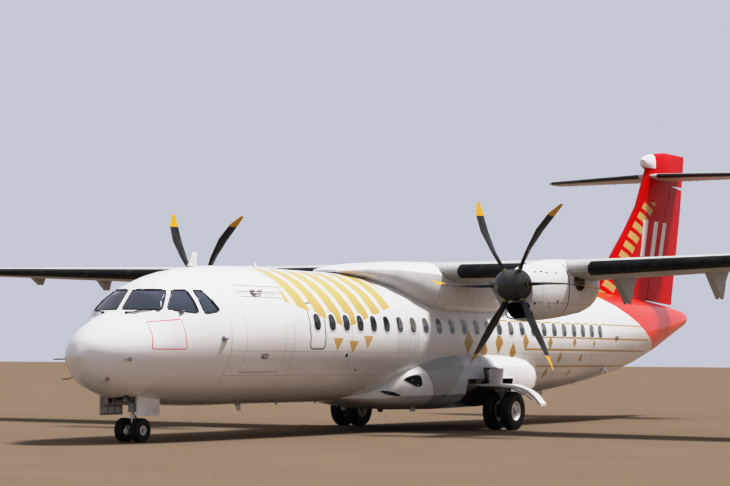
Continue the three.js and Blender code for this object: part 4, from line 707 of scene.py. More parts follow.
paint = Finish("wing_paint", WING_GREY, Coat_Weight=0.15, Coat_Roughness=0.3)
paint.streaks(DIRT_AND_SHADE, 0.4, 1.6, (1, 0.35, 1))
ribs = paint.out.fold(RIB_PITCH)
spars = reduce(or_, [paint.y.near(y, 0.004) for y in SPARS])
paint.over(SEAM, (ribs.near(0, 0.004) | spars) * 0.45)
paint.over(SEAM, (ribs.near(0.02, 0.005) & (paint.y.fold(0.018) < 0.006)) * 0.25)
dress(paint.done((0.35, 0.55), 3, 0.06), "wing_centre",
      *both("wing_outer", "flap_inner", "flap_outer", "aileron"))

rubber = Finish("boot_rubber", BOOT_BLACK, Specular_IOR_Level=0.2)
rubber.streaks((0.06, 0.057, 0.052), 0.7, 5)
rubber.over((0.05, 0.05, 0.05), rubber.out.fold(PATCH_PITCH).near(0, 0.006))
tubes = (rubber.y + rubber.z).fold(TUBE_PITCH) + rubber.noise(60, 2) * 0.004
dress(rubber.done((0.42, 0.6), 7, depth=0.1, height=tubes), *both("boot_inner", "boot_outer"))

# Nacelles. Cowl doors of carbon skin on an aluminium frame, latched round the engine. Each engine's
# jet pipe leaves the outboard side through a heat-stained steel duct that is rolled at its lip.
ENGINE_X = 4.05
EXHAUST_Y, EXHAUST_Z = -2.56, 3.24
COWL_JOINT_Y = -2.95
# Joints of the cowl doors: where they end along the nacelle, and their lower and upper edges.
COWL_FRONT, COWL_REAR, COWL_LOW, COWL_HIGH = -3.95, -1.9, 2.78, 3.42
# The air intake: its height, half size and corner, and where its throat ends.
MOUTH_Z, THROAT_HALF, THROAT_CORNER, THROAT_END = 2.615, (0.278, 0.168), 0.12, -3.5
DUCT_RADIUS, DUCT_OUT = 0.175, 0.535
# Drain and vent holes in the cowls, painted near black as the shade inside them: y, z, radius.
COWL_HOLES = ((-4.2, 2.76, 0.03), (-3.39, 2.81, 0.035), (-3.69, 2.7, 0.02))
HOLE_SHADE, MOUTH_SHADE, JOINT_BLACK = (0.01, 0.01, 0.01), (0.012, 0.012, 0.012), (0.015, 0.015, 0.015)
# Rings along the duct, outside and then inside: distance out, radius, lean towards the rear.
EXHAUST_RINGS = (
    (0.4, 0.166, 0.0), (0.52, 0.166, 0.0), (0.56, 0.165, 0.02), (0.585, 0.168, 0.035), (0.588, 0.162, 0.035),
    (0.56, 0.157, 0.02), (0.5, 0.154, 0.0), (0.42, 0.12, -0.02), (0.42, 0.02, -0.02),
)

paint = Finish("nacelle_paint", WHITE, Coat_Weight=0.4, Coat_Roughness=0.12)
paint.streaks(DIRT_AND_SHADE, 0.25, 2)
# Painted shade, broken up by noise, darkens the cowls towards the bottom.
paint.over(DIRT_AND_SHADE, paint.z.span(2.95, 2.4, 0, 0.4) & paint.noise(3, 4).span(0.3, 0.7, 0.4, 1))
paint.over(JOINT_BLACK, paint.y.near(COWL_JOINT_Y, 0.02) * 0.95)
for y, z, radius in COWL_HOLES:
    paint.over(HOLE_SHADE, (paint.y - y).hypot(paint.z - z) < radius)
joint = paint.y.near(COWL_FRONT, 0.005) | paint.y.near(COWL_REAR, 0.005)
joint = joint | (paint.z.near(COWL_LOW, 0.005) & (paint.y < COWL_REAR))
joint = joint | (paint.z.near(COWL_HIGH, 0.004) & (paint.y < COWL_JOINT_Y))
paint.over(SEAM, joint * 0.5)
# Inside the intake and the openings the skin is painted black as the shade in them, and soot lies behind the
# exhaust.
out = abs(paint.out - ENGINE_X)
mouth = box_gap(out, paint.z, (0, MOUTH_Z), THROAT_HALF, THROAT_CORNER) < 0
mouth = mouth & (paint.y < THROAT_END)
duct = ((paint.y - EXHAUST_Y).hypot(paint.z - EXHAUST_Z) < DUCT_RADIUS) & (out < DUCT_OUT)
paint.over(MOUTH_SHADE, mouth | duct)
soot = paint.noise(4, 4, (1, 0.5, 1)).span(0.35, 0.7, 0.2, 1) & abs(paint.z - 3.2).span(0.05, 0.32, 1, 0)
soot = soot & paint.y.span(-2.3, -1.2, 0.35, 0) & paint.y.span(-2.6, -2.3, 0, 1) & (paint.out > 4.2)
paint.over((0.12, 0.1, 0.08), soot)
dress(paint.done((0.2, 0.38), 2.2, 0.05, 0.003), *both("nacelle"))

pipe = Finish("jet_pipe", (0.09, 0.075, 0.065), Metallic=1.0)
pipe.over((0.3, 0.24, 0.19), pipe.noise(7, 5).span(0.35, 0.7, 0, 1))
jet_pipe = pipe.done((0.35, 0.6), 18, 0.08)
dress(jet_pipe, *both("engine"))
for side, word in SIDES:
    rings = [[(side * (ENGINE_X + out + lean * c / 2), EXHAUST_Y + radius * c + lean, EXHAUST_Z + radius * s)
              for c, s in circle(40)] for out, radius, lean in EXHAUST_RINGS]
    sculpted(f"exhaust_pipe_{word}", [loft(rings)], jet_pipe)

# Propellers. Six carbon blades with a metal guard on the leading edge turn in a steel hub, behind a
# composite spinner. The tips are yellow so that the disc shows as it turns.
HUB_Z = 3.135
# Along a blade: where the yellow tip starts, then the middle and half width of the worn black band
# and of the yellow ring.
TIP_START, BLACK_BAND, YELLOW_RING = 1.67, (0.62, 0.2), (0.368, 0.013)
TIP_YELLOW, RING_YELLOW = (0.72, 0.38, 0.02), (0.5, 0.4, 0.05)

paint = Finish("blade_paint", (0.028, 0.028, 0.027), Coat_Weight=0.1)
radius = (paint.out - ENGINE_X).hypot(paint.z - HUB_Z)
paint.streaks((0.08, 0.075, 0.068), 0.7, 6, (1, 1, 1))
paint.over((0.018, 0.018, 0.018), radius.near(*BLACK_BAND))
paint.over(RING_YELLOW, radius.near(*YELLOW_RING))
paint.over(TIP_YELLOW, radius > TIP_START)
dress(paint.done((0.4, 0.6), 8, 0.06), *both("propeller"))

paint = Finish("spinner_paint", (0.045, 0.045, 0.042), Coat_Weight=0.3, Coat_Roughness=0.2)
paint.streaks((0.12, 0.11, 0.1), 0.6, 7)
screws = paint.y.near(-4.745, 0.006) & (paint.noise(60, 0) > 0.55)
paint.over((0.012, 0.012, 0.012), paint.y.near(-4.72, 0.006) | screws)
dress(paint.done((0.3, 0.45), 6, 0.05), *both("spinner"))

# Landing gear legs. Forged steel legs and trailing arms, painted pale grey, with chromed shock
# absorbers, and steel pipes that are clamped along them down to the brakes.
AXLE = Vector((2.05, -1.2, 0.432))
LEG_TOP, LEG_KNEE = Vector((1.545, -1.33, 1.4)), Vector((2.05, -1.33, 0.94))
DAMPER_FOOT, DAMPER_HEAD = Vector((2.05, -1.16, 0.492)), Vector((2.05, -1.07, 0.89))
# Collars on the leg, the arm and the shock absorber: share of the length, half width, radius.
COLLARS = (
    (LEG_TOP, LEG_KNEE, ((0.42, 0.03, 0.09), (0.74, 0.014, 0.086), (0.93, 0.05, 0.088))),
    (LEG_KNEE, AXLE, ((0.16, 0.05, 0.082), (0.55, 0.012, 0.073), (0.84, 0.05, 0.08))),
    (DAMPER_FOOT, DAMPER_HEAD,
     ((0.1, 0.03, 0.056), (0.55, 0.022, 0.058), (0.75, 0.09, 0.052), (0.93, 0.03, 0.058))),
)
# The knee's pin, as out and radius of its steps.
KNEE_PIN = ((-0.13, 0.05), (-0.125, 0.06), (-0.1, 0.062), (-0.1, 0.09), (0.1, 0.09), (0.1, 0.062),
            (0.125, 0.06), (0.13, 0.05))
# The lifting eye under the arm: middle, radius, radius of its bar.
EYE, EYE_RADIUS, EYE_BAR = Vector((2.05, -1.235, 0.35)), 0.034, 0.009
# Routes of the brake pipes, from the bay down to each brake, for the port leg.
BRAKE_PIPES = (
    ((1.72, -1.42, 1.34), (1.86, -1.435, 1.17), (2.0, -1.43, 1.03), (2.07, -1.42, 0.92), (2.075, -1.35, 0.72),
     (2.085, -1.28, 0.56), (2.12, -1.24, 0.51), (2.15, -1.21, 0.53)),
    ((1.7, -1.425, 1.31), (1.84, -1.44, 1.14), (1.97, -1.435, 1.01), (2.03, -1.42, 0.9), (2.03, -1.35, 0.7),
     (2.015, -1.28, 0.55), (1.98, -1.24, 0.51), (1.95, -1.21, 0.53)),
)
NOSE_AXLE = Vector((0, -11.97, 0.225))
STRUT_COLLARS = ((0.02, 0.02, 0.094), (0.2, 0.018, 0.093), (0.42, 0.035, 0.082), (0.62, 0.015, 0.074))
# Rods between the nose strut and its doors: height and station at the strut, then at the door.
NOSE_DOOR_RODS = ((0.86, -11.99, 0.66, -12.16), (0.84, -11.93, 0.66, -11.85))


def mirrored(shapes, side):
    return [([(side * x, y, z) for x, y, z in points], faces) for points, faces in shapes]


def on_both_sides(*pieces):
    """Pieces of the port side, as name, shapes, finish and so on, and then their mirror images."""
    for side, word in SIDES:
        for name, shapes, *rest in pieces:
            sculpted(f"{name}_{word}", mirrored(shapes, side), *rest)


def bent(points, steps=6):
    """A smooth line through the points."""
    points = [Vector(p) for p in points]
    ends = [points[0] * 2 - points[1], *points, points[-1] * 2 - points[-2]]
    line = []
    for a, b, c, d in zip(ends, ends[1:], ends[2:], ends[3:]):
        for t in (k / steps for k in range(steps)):
            line.append((b * 2 + (c - a) * t + (a * 2 - b * 5 + c * 4 - d) * t ** 2
                         + (b * 3 - a - c * 3 + d) * t ** 3) / 2)
    return line + [points[-1]]


def collar(start, end, share, half, radius, sides=24):
    """A band with bevelled edges round the line from start to end."""
    along = (end - start).normalized()
    return tube([start.lerp(end, share) + along * d for d in (-half, 0.004 - half, half - 0.004, half)],
                [radius - 0.006, radius, radius, radius - 0.006], sides)


def rod(start, end, radius, *collars, sides=(12, 14)):
    start, end = Vector(start), Vector(end)
    return [tube([start, end], radius, sides[0]), *[collar(start, end, *row, sides[1]) for row in collars]]


def lathe(centre, axis, profile, sides=40, caps=True):
    """A turned shape about a level axis. Columns of the profile: out along the axis, radius."""
    axis = Vector(axis)
    level = Vector((abs(axis.y), abs(axis.x), 0))
    spokes = [level * c + Vector((0, 0, s)) for c, s in circle(sides)]
    return loft([[Vector(centre) + axis * out + spoke * radius for spoke in spokes]
                 for out, radius in profile], caps)


gear_finish = streaked("gear_paint", (0.5, 0.5, 0.49), (0.14, 0.11, 0.09), 0.7, 6, (0.35, 0.55), 9, 0.1,
                       (1, 1, 1), Coat_Weight=0.2)
dress(gear_finish, "nose_strut", "nose_fork", *both("main_leg"))
chrome = streaked("piston_chrome", (0.6, 0.6, 0.6), (0.2, 0.17, 0.13), 0.5, 20, (0.08, 0.2), 30, 0.02,
                  Metallic=1.0)
pipe_steel = mottled("pipe_steel", 40, ((0.2, 0.19, 0.17), (0.42, 0.4, 0.37)), (0.3, 0.5), 40, 0.04,
                     Metallic=1.0)
shapes = [collar(start, end, *row) for start, end, rows in COLLARS for row in rows]
spokes = [Vector((0, c - s, c + s)) / math.sqrt(2) for c, s in circle(20)]
hoop = [[EYE + spoke * (EYE_RADIUS + EYE_BAR * c) + Vector((EYE_BAR * s, 0, 0)) for c, s in circle(8)]
        for spoke in spokes]
shapes += [
    lathe((2.05, -1.33, 0.915), (1, 0, 0), KNEE_PIN, 28),
    loft(hoop + hoop[:1], caps=False),
    tube([(1.25, -1.33, 1.05), (1.42, -1.33, 1.12)], 0.052, 20),
]
sleeve = tube([DAMPER_FOOT.lerp(DAMPER_HEAD, s) for s in (0.14, 0.54)], 0.0432, 32)
pipes = [tube(bent(route), 0.0075, 10) for route in BRAKE_PIPES]
for route in BRAKE_PIPES:
    pipes += [collar(Vector(a), Vector(b), 0.5, 0.011, 0.015, 12) for a, b in zip(route[1:5], route[2:6])]
on_both_sides(("main_leg_fittings", shapes, gear_finish), ("main_damper_piston", [sleeve], chrome),
              ("brake_pipes", pipes, pipe_steel))

# Nose strut. Steel collars are clamped round it, rods with forged ends pull its doors, a chromed
# piston slides in it, and turned pins join the steering fork below.
strut = [NOSE_AXLE + Vector((0, 0, h)) for h in (0.35, 0.9)]
shapes = rod((0.05, -12.07, 0.72), (0.21, -12.03, 0.72), 0.03, (0.9, 0.016, 0.035), (0.3, 0.01, 0.034),
             sides=(18, 18))
for z, y, door_z, door_y in NOSE_DOOR_RODS:
    shapes += rod((0.05, y, z), (0.427, door_y, door_z), 0.011, (0.94, 0.018, 0.018))
shapes += mirrored(shapes, -1) + [collar(*strut, *row) for row in STRUT_COLLARS]
sculpted("nose_strut_fittings", shapes, gear_finish)
piston = tube([NOSE_AXLE + Vector((0, 0, h)) for h in (0.066, 0.35)], 0.0412, 32)
sculpted("nose_piston", [piston], chrome, "nose_steering")
pins = [tube([(0, -12.155, z) for z in (0.135, 0.145, 0.275, 0.285)], [0.012, 0.016, 0.016, 0.012], 16),
        tube([(x, -11.865, 0.37) for x in (-0.045, -0.04, 0.04, 0.045)], [0.018, 0.024, 0.024, 0.018], 18),
        tube([(-0.052, -11.82, 0.395), (0.052, -11.82, 0.395)], 0.017, 16),
        tube([(-0.05, -11.93, 0.265), (0.05, -11.93, 0.265)], 0.022, 16)]
sculpted("nose_fork_pins", pins, gear_finish, "nose_steering")

# Taxi lamps. Sealed glass lamps in spun aluminium bowls, one each side of the nose strut. The bowl's
# edge is rolled over the glass, and a short arm bolts it to the strut.
LAMP = (0.135, -12.02, 0.8)
# Rings of the bowl from the back, and of the glass: distance forward, radius.
LAMP_BOWL = ((-0.05, 0.02), (-0.045, 0.035), (-0.01, 0.058), (0.03, 0.066), (0.036, 0.069), (0.042, 0.067),
             (0.042, 0.06), (0.03, 0.058))
LAMP_GLASS = ((0.031, 0.058), (0.036, 0.057), (0.042, 0.045), (0.046, 0.028), (0.048, 0.006))
lamp_glass = mottled("lamp_glass", 60, ((0.5, 0.52, 0.53), (0.8, 0.8, 0.78)), (0.08, 0.16), 50, 0.1, IOR=1.5,
                     Coat_Weight=1.0, Coat_Roughness=0.03, Metallic=0.6)
bowl = [lathe(LAMP, ahead, LAMP_BOWL, 32), tube([(0.05, -11.98, 0.79), (0.11, -12.0, 0.795)], 0.014)]
lens = [lathe(LAMP, ahead, LAMP_GLASS, 32)]
sculpted("taxi_lamp_bowls", bowl + mirrored(bowl, -1), gear_finish)
sculpted("taxi_lamp_glasses", lens + mirrored(lens, -1), lamp_glass)

# Gear doors. Bonded panels with a pan pressed into their inner sheet, hung on rods from the legs.
# A second flat panel beside each main leg closes the slot when the leg is up.
DOOR_WHITE, LEG_PANEL_GREY = (0.72, 0.71, 0.695), (0.42, 0.4, 0.4)
# The leg's panel: lowest and highest rear and front corners as y, z, and its layers as x, inset.
LEG_PANEL = ((-1.255, 1.045), (-1.215, 1.385), (-1.79, 1.385), (-1.83, 1.045))
LEG_PANEL_LAYERS = ((2.006, 0.0), (2.044, 0.0), (2.05, 0.006), (2.05, 0.03), (2.053, 0.036))
# Stays of the main doors and panels: from, to, radius, collar.
DOOR_STAYS = (
    ((2.0, -1.62, 1.3), (1.78, -1.36, 1.19), 0.012, (0.08, 0.016, 0.02)),
    ((2.0, -1.38, 1.3), (1.78, -1.36, 1.19), 0.012, (0.08, 0.016, 0.02)),
    ((2.05, -1.33, 0.9), (2.42, -1.33, 0.965), 0.016, (0.94, 0.02, 0.024)),
    ((2.05, -1.33, 0.9), (1.66, -1.33, 0.965), 0.016, (0.94, 0.02, 0.024)),
)
# Ribs under each arched door as x and height, and where they stand.
ARCH_LINE = ((1.62, 0.973), (2.02, 0.978), (2.33, 0.956), (2.45, 0.933), (2.6, 0.888), (2.775, 0.813),
             (2.93, 0.698))
ARCH_RIBS = (-1.52, -1.17)
# Ribs inside each nose door: their x, and each rib's ends as y, z.
NOSE_RIB_X = 0.425
NOSE_RIBS = [((y, 0.5255), (y, 0.7983)) for y in (-12.3708, -12.1724, -11.9676, -11.7692)]
NOSE_RIBS += [((-12.3708, z), (-11.7692, z)) for z in (0.5255, 0.665)]


def door_paint(name, tone):
    paint = Finish(name, tone, Coat_Weight=0.3)
    paint.streaks(DIRT_AND_SHADE, 0.45, 4, (1, 1, 1))
    paint.over(SEAM, paint.y.fold(0.21).near(0, 0.003) * 0.4)
    return paint.done((0.3, 0.5), 5, 0.06)


dress(door_paint("gear_door_paint", DOOR_WHITE), *both("main_gear_door", "nose_gear_door"))
panel_finish = door_paint("leg_panel_grey", LEG_PANEL_GREY)
middle = [sum(c[k] for c in LEG_PANEL) / 4 for k in (0, 1)]
rings = [[(x, y + math.copysign(inset, middle[0] - y), z + math.copysign(inset, middle[1] - z))
          for y, z in LEG_PANEL] for x, inset in LEG_PANEL_LAYERS]
stays = [tube([(x, y, z) for x, z in ARCH_LINE], 0.016, 8) for y in ARCH_RIBS]
for row in DOOR_STAYS:
    stays += rod(*row)
ribs = [tube([(NOSE_RIB_X, *low), (NOSE_RIB_X, *high)], 0.013, 6) for low, high in NOSE_RIBS]
on_both_sides(("leg_panel", [loft(rings)], panel_finish, "airframe", 25),
              ("main_door_stays", stays, gear_finish), ("nose_door_ribs", ribs, panel_finish))

# Tyres. Bias tyres with four straight grooves in the tread and two moulded rings on each wall,
# mounted in pairs. Each grooved tyre takes the place of its plainer solid.
# Columns of a tyre's profile: share of the half width, share of the way from the rim to the tread.
TYRE_WALL = (
    (0.72, 0.0), (0.74, 0.03), (0.84, 0.1), (0.93, 0.2), (0.965, 0.27), (0.985, 0.285), (0.985, 0.31),
    (0.985, 0.335), (1.0, 0.42), (1.0, 0.5), (0.99, 0.6), (0.975, 0.66), (0.985, 0.675), (0.965, 0.71),
    (0.94, 0.78), (0.88, 0.87), (0.8, 0.94), (0.7, 0.975),
)
TREAD_GROOVES = (0.56, 0.2)
GROOVE_WIDE, GROOVE_DEEP, CROWN_FALL = 0.034, 0.035, 0.045
# Wheels: middle of the axle, distance from it, tyre's radius, half width and rim, then how far out
# the rim's lips, the hub cap and the bolts stand for their radius.
WHEEL_SIZES = {"main": (AXLE, 0.215, 0.432, 0.127, 0.21, 1.0, 1.0, 0.262),
               "nose": (NOSE_AXLE, 0.185, 0.225, 0.095, 0.092, 1.65, 1.72, 0.44)}


def tyre_profile(radius, half, rim):
    out = [(share * half, rim + rise * (radius - rim)) for share, rise in TYRE_WALL]
    wide, deep = GROOVE_WIDE * half, GROOVE_DEEP * radius
    for share in TREAD_GROOVES:
        crown, middle = radius - CROWN_FALL * half * share ** 2, share * half
        out += [(middle + wide * 1.3, crown), (middle + wide, crown - deep), (middle - wide, crown - deep),
                (middle - wide * 1.3, crown)]
    return out + [(-x, r) for x, r in reversed(out)] + [out[0]]


def wheel_place(name):
    """The middle of a wheel, the way its dished face looks, and its body, from its name."""
    side = 1 if "port" in name else -1
    face = -side if "inner" in name else side
    axle, away = WHEEL_SIZES[name[:4]][:2]
    if name.startswith("nose"):
        return Vector((side * away, axle.y, axle.z)), face, "nose_wheels"
    return Vector((side * axle.x + face * away, axle.y, axle.z)), face, "main_wheels_" + name.split("_")[2]


tyre_finish = streaked("tyre_rubber", (0.011, 0.0105, 0.01), (0.06, 0.047, 0.036), 0.55, 5, (0.65, 0.85), 14,
                       0.2, (1, 1, 1))
WHEELS = [n[:-5] for n in nodes if n.endswith("_tyre")]
dress(tyre_finish, *[f"{n}_tyre" for n in WHEELS])
for name in WHEELS:
    centre, _, body = wheel_place(name)
    shape = lathe(centre, (1, 0, 0), tyre_profile(*WHEEL_SIZES[name[:4]][2:5]), 72, False)
    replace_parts(sculpted(f"{name}_tread", [shape], tyre_finish, body, 40), f"{name}_tyre")

# Wheels and brakes. Forged aluminium rims in two halves with tie bolts and vent holes, under a hub
# cap. The main ones hold a stack of brake discs behind a ring of pistons on the leg's side.
HUB_GREY = (0.27, 0.265, 0.26)
# Lathe profiles as shares of the rim's radius: out from the wheel's middle, radius.
RIM_LIP = ((0.43, 0.97), (0.465, 1.005), (0.47, 1.035), (0.455, 1.045), (0.435, 1.03), (0.43, 0.97))
HUB_CAP = ((0.3, 0.42), (0.36, 0.42), (0.38, 0.4), (0.39, 0.3), (0.47, 0.27), (0.495, 0.2), (0.5, 0.03))
BOLTS, BOLT_RING, BOLT_RADIUS = 8, 0.6, 0.045
VENT_RING, VENT_RADIUS = 0.78, 0.085
BRAKE = ((-0.1, 0.1), (-0.1, 0.155), (-0.124, 0.157), (-0.126, 0.15), (-0.128, 0.12), (-0.128, 0.08))
BRAKE_PISTONS, PISTON_RING = 7, 0.122


def studs(centre, face, count, ring, steps, radii, sides):
    """Round studs in a ring on a wheel's face, half a pitch from level."""
    made = []
    for k in range(count):
        turn = math.pi * (2 * k + 1) / count
        spot = centre + Vector((0, math.cos(turn), math.sin(turn))) * ring
        made.append(tube([spot + Vector((face * step, 0, 0)) for step in steps], radii, sides))
    return made


def wheel_alloy(name, centre, rim):
    alloy = Finish(name, (0.85, 0.82, 0.78), Coat_Weight=0.1)
    alloy.streaks((0.3, 0.25, 0.2), 0.6, 9, (1, 1, 1))
    back, rise = alloy.y - centre.y, alloy.z - centre.z
    away = back.hypot(rise)
    round_it = (rise.calc("ARCTAN2", back) + 7).fold(math.pi / BOLTS) * away
    # The vent holes are near black discs: painted shade in the holes.
    alloy.over((0.01, 0.01, 0.01), round_it.hypot(away - VENT_RING * rim) < VENT_RADIUS * rim)
    alloy.over(HUB_GREY, away < 0.43 * rim)
    return alloy.done((0.35, 0.6), 12, 0.08)


alloys = {kind: wheel_alloy(f"{kind}_wheel_alloy", row[0], row[4]) for kind, row in WHEEL_SIZES.items()}
hub_metal = streaked("hub_cap_metal", HUB_GREY, (0.3, 0.27, 0.22), 0.6, 30, (0.3, 0.5), 20, 0.06,
                     Coat_Weight=0.2)
brake_steel = mottled("brake_steel", 30, ((0.05, 0.045, 0.04), (0.14, 0.12, 0.1)), (0.4, 0.65), 30, 0.1,
                      Metallic=0.8)
for name in WHEELS:
    centre, face, body = wheel_place(name)
    rim, lip, wide, stand = WHEEL_SIZES[name[:4]][4:]
    dress(alloys[name[:4]], f"{name}_rim")
    lips = [lathe(centre, (way, 0, 0), [(o * rim * lip, r * rim) for o, r in RIM_LIP], 56, False)
            for way in (face, -face)]
    sculpted(f"{name}_rim_lips", lips, alloys[name[:4]], body)
    cap = [lathe(centre, (face, 0, 0), [(o * rim * wide, r * rim) for o, r in HUB_CAP], 32)]
    cap += studs(centre, face, BOLTS, BOLT_RING * rim, [(stand + d) * rim for d in (-0.03, 0.05, 0.07)],
                 [share * rim for share in (BOLT_RADIUS, BOLT_RADIUS, 0.03)], 6)
    sculpted(f"{name}_hub", cap, hub_metal, body, 30)
for side, word in SIDES:
    shapes = []
    for face in (1, -1):
        centre = Vector((side * (AXLE.x + face * 0.215), AXLE.y, AXLE.z))
        shapes.append(lathe(centre, (side * face, 0, 0), BRAKE))
        shapes += studs(centre, -side * face, BRAKE_PISTONS, PISTON_RING, (0.12, 0.138, 0.142),
                        [0.021, 0.021, 0.015], 14)
    sculpted(f"main_brakes_{word}", shapes, brake_steel)

# Tail. Carbon fin and rudder, painted red with white and gold bars, and a grey tailplane on the
# fin's top with boots on its leading edge. All surfaces hang on hinge pins in ears.
MARK_WHITE, PANEL_RED = (0.78, 0.77, 0.75), (0.12, 0.01, 0.01)
# Stations of the white bars, at the height where their lean is nought.
WHITE_BARS = (24.05, 24.75, 25.4)
BARS_Z, BARS_LEAN, BARS_HALF = 5.0, 0.32, (0.15, 0.52)
# The fin's leading edge: its lean, and its station on the ground. The tailplane's: sweep, station.
FIN_EDGE = (1.09, 17.36)
TAIL_EDGE = (0.2716, 10.977)
# Gold bars behind the fin's edge: middle and reach back from it, then up the fin, and their pitch.
GOLD_BACK, GOLD_UP, GOLD_PITCH = (0.62, 0.34), (4.5, 1.55), 0.21
# A hatch in the fin: its middle, half size, corner and line width.
FIN_HATCH = ((24.55, 5.91), (0.3, 0.2), 0.05, 0.014)

paint = Finish("fin_paint", RED, Coat_Weight=0.03, Coat_Roughness=0.12, Specular_IOR_Level=0.08)
station = paint.station
paint.streaks((0.3, 0.02, 0.015), 0.3, 1.5, (1, 1, 1))
# The distance behind the leading edge, along which the gold bars are laid out.
behind = station - (paint.z * FIN_EDGE[0] + FIN_EDGE[1])
step = (paint.z + station * 0.45).fold(GOLD_PITCH) < 0.13
paint.over(PALE_GOLD, behind.near(*GOLD_BACK) & paint.z.near(*GOLD_UP) & step)
lean = station - (paint.z * BARS_LEAN - BARS_LEAN * BARS_Z)
wide, tall = BARS_HALF
bars = reduce(or_, [lean.near(s, wide) for s in WHITE_BARS])
paint.over(MARK_WHITE, bars & paint.z.near(BARS_Z, tall))
paint.over(MARK_WHITE, (paint.z > 7.03) & (station < 24.92))
joints = paint.z.near(6.68, 0.006) | paint.z.near(4.0, 0.004) | behind.near(0.22, 0.006)
panel = box_line(station, paint.z, *FIN_HATCH)
paint.over(PANEL_RED, (joints | panel) * 0.45)
dress(paint.done((0.2, 0.32), 1.8, 0.05, 0.003), "fin", "rudder")

paint = Finish("tailplane_paint", (0.62, 0.61, 0.595), Coat_Weight=0.2)
paint.streaks(DIRT_AND_SHADE, 0.35, 1.8, (1, 0.4, 1))
paint.over(SEAM, paint.out.fold(0.42).near(0, 0.004) * 0.4)
edge = paint.out * TAIL_EDGE[0] + TAIL_EDGE[1]
paint.over(BOOT_BLACK, (paint.y - edge < 0.13) & (paint.out > 0.28) & (paint.out < 3.5))
dress(paint.done((0.35, 0.52), 3, 0.06), "tailplane", *both("elevator"))

# Intakes and drains. Lips of polished steel round the engines' mouths, and openings in the lower
# fairing behind a riveted rim, which feed and drain the air-conditioning packs. Each opening's throat is
# a near black sheet of painted shade that stands on the skin.
# Outlines of the two openings on a side, as station and height.
OPENINGS = (
    ((9.302, 1.131), (9.4, 1.19), (9.52, 1.225), (9.66, 1.235), (9.73, 1.2), (9.745, 1.11), (9.725, 1.02),
     (9.65, 0.985), (9.52, 1.005), (9.4, 1.07)),
    ((8.84, 0.885), (8.93, 0.9), (9.1, 0.865), (9.22, 0.815), (9.23, 0.79), (9.13, 0.785), (8.98, 0.815),
     (8.87, 0.855)),
)
# Layers of a throat: share of its size, above the skin.
THROAT = ((1.0, -0.004), (1.0, 0.002), (0.8, 0.003), (0.5, 0.0035), (0.2, 0.0035), (0.04, 0.0035))
# An engine's mouth: y, half width and half height, thickness of its lip.
MOUTH_Y, MOUTH_HALF, LIP_RADIUS = -4.288, (0.292, 0.182), 0.013

throat_shade = mottled("throat_shade", 9, ((0.004, 0.004, 0.004), (0.016, 0.014, 0.012)), (0.7, 0.9), 20, 0.1)
lip_metal = mottled("lip_metal", 12, ((0.42, 0.42, 0.41), (0.6, 0.6, 0.59)), (0.25, 0.45), 14, 0.05,
                    Metallic=0.9)
fairing_tree = tree_of("gear_fairing", "wing_fairing")
for side, word in SIDES:
    throats, rims = [], []
    for outline in OPENINGS:
        loop = [Vector((s, z, 0)) for s, z in outline]
        smooth = bent(loop[-2:] + loop + loop[:2], 4)[8:-9]
        middle = sum(loop, Vector()) / len(loop)
        rings = [[beside(fairing_tree, side, *middle.lerp(p, share).xy, lift)[0] for p in smooth]
                 for share, lift in THROAT]
        throats.append(loft(rings))
        rims.append(closed_tube(rings[1], 0.005, 8))
    sculpted(f"pack_throats_{word}", throats, throat_shade)
    mouth = [(side * ENGINE_X + across, MOUTH_Y, MOUTH_Z + rise)
             for across, rise in oval(*MOUTH_HALF, 3.2, 48)]
    sculpted(f"intake_lips_{word}", rims + [closed_tube(mouth, LIP_RADIUS, 10)], lip_metal)

# Lights and wicks. Domes of coloured glass over the navigation lights and beacons, and carbon wicks
# in metal feet that shed static from the trailing edges. Each wick moves with its surface.
# Columns: the surface, and the places of its wicks across the aircraft or, on the rudder, up it.
WICKS = (
    ("aileron_port", (9.8, 10.9, 12.0, 12.8)), ("aileron_starboard", (-9.8, -10.9, -12.0, -12.8)),
    ("elevator_port", (1.3, 2.0, 2.7, 3.3)), ("elevator_starboard", (-1.3, -2.0, -2.7, -3.3)),
    ("rudder", (5.6, 6.0, 6.4)),
)
# A wick's sections: distance behind the edge, radius.
WICK_BACK, WICK_RADII = (-0.03, 0.02, 0.1067, 0.11), [0.006, 0.006, 0.0025, 0.0015]
FUEL_CAPS = ((5.6, -1.9), (8.2, -1.85))
DOME_TURNS = [math.radians(14.5 * k) for k in range(7)]


def dome_on(tree, start, toward, half, wide, height, along):
    """A blister of glass that stands on the skin, longer one way than the other."""
    point, normal = landing(tree, start, toward)
    long_way = (Vector(along) - normal * normal.dot(Vector(along))).normalized()
    ring = [long_way * (half * c) + normal.cross(long_way) * (wide * s) for c, s in circle(24)]
    rings = [[point - normal * 0.012 + p for p in ring]]
    rings += [[point + normal * height * math.sin(t) + p * math.cos(t) for p in ring] for t in DOME_TURNS]
    return loft(rings)


def coloured_glass(name, dark, bright):
    return mottled(name, 18, (dark, bright), (0.08, 0.2), 25, 0.05, IOR=1.5, Coat_Weight=1.0,
                   Coat_Roughness=0.04)


def heights_of(name):
    return [f(v.co.z for v in nodes[name].data.vertices) for f in (min, max)]


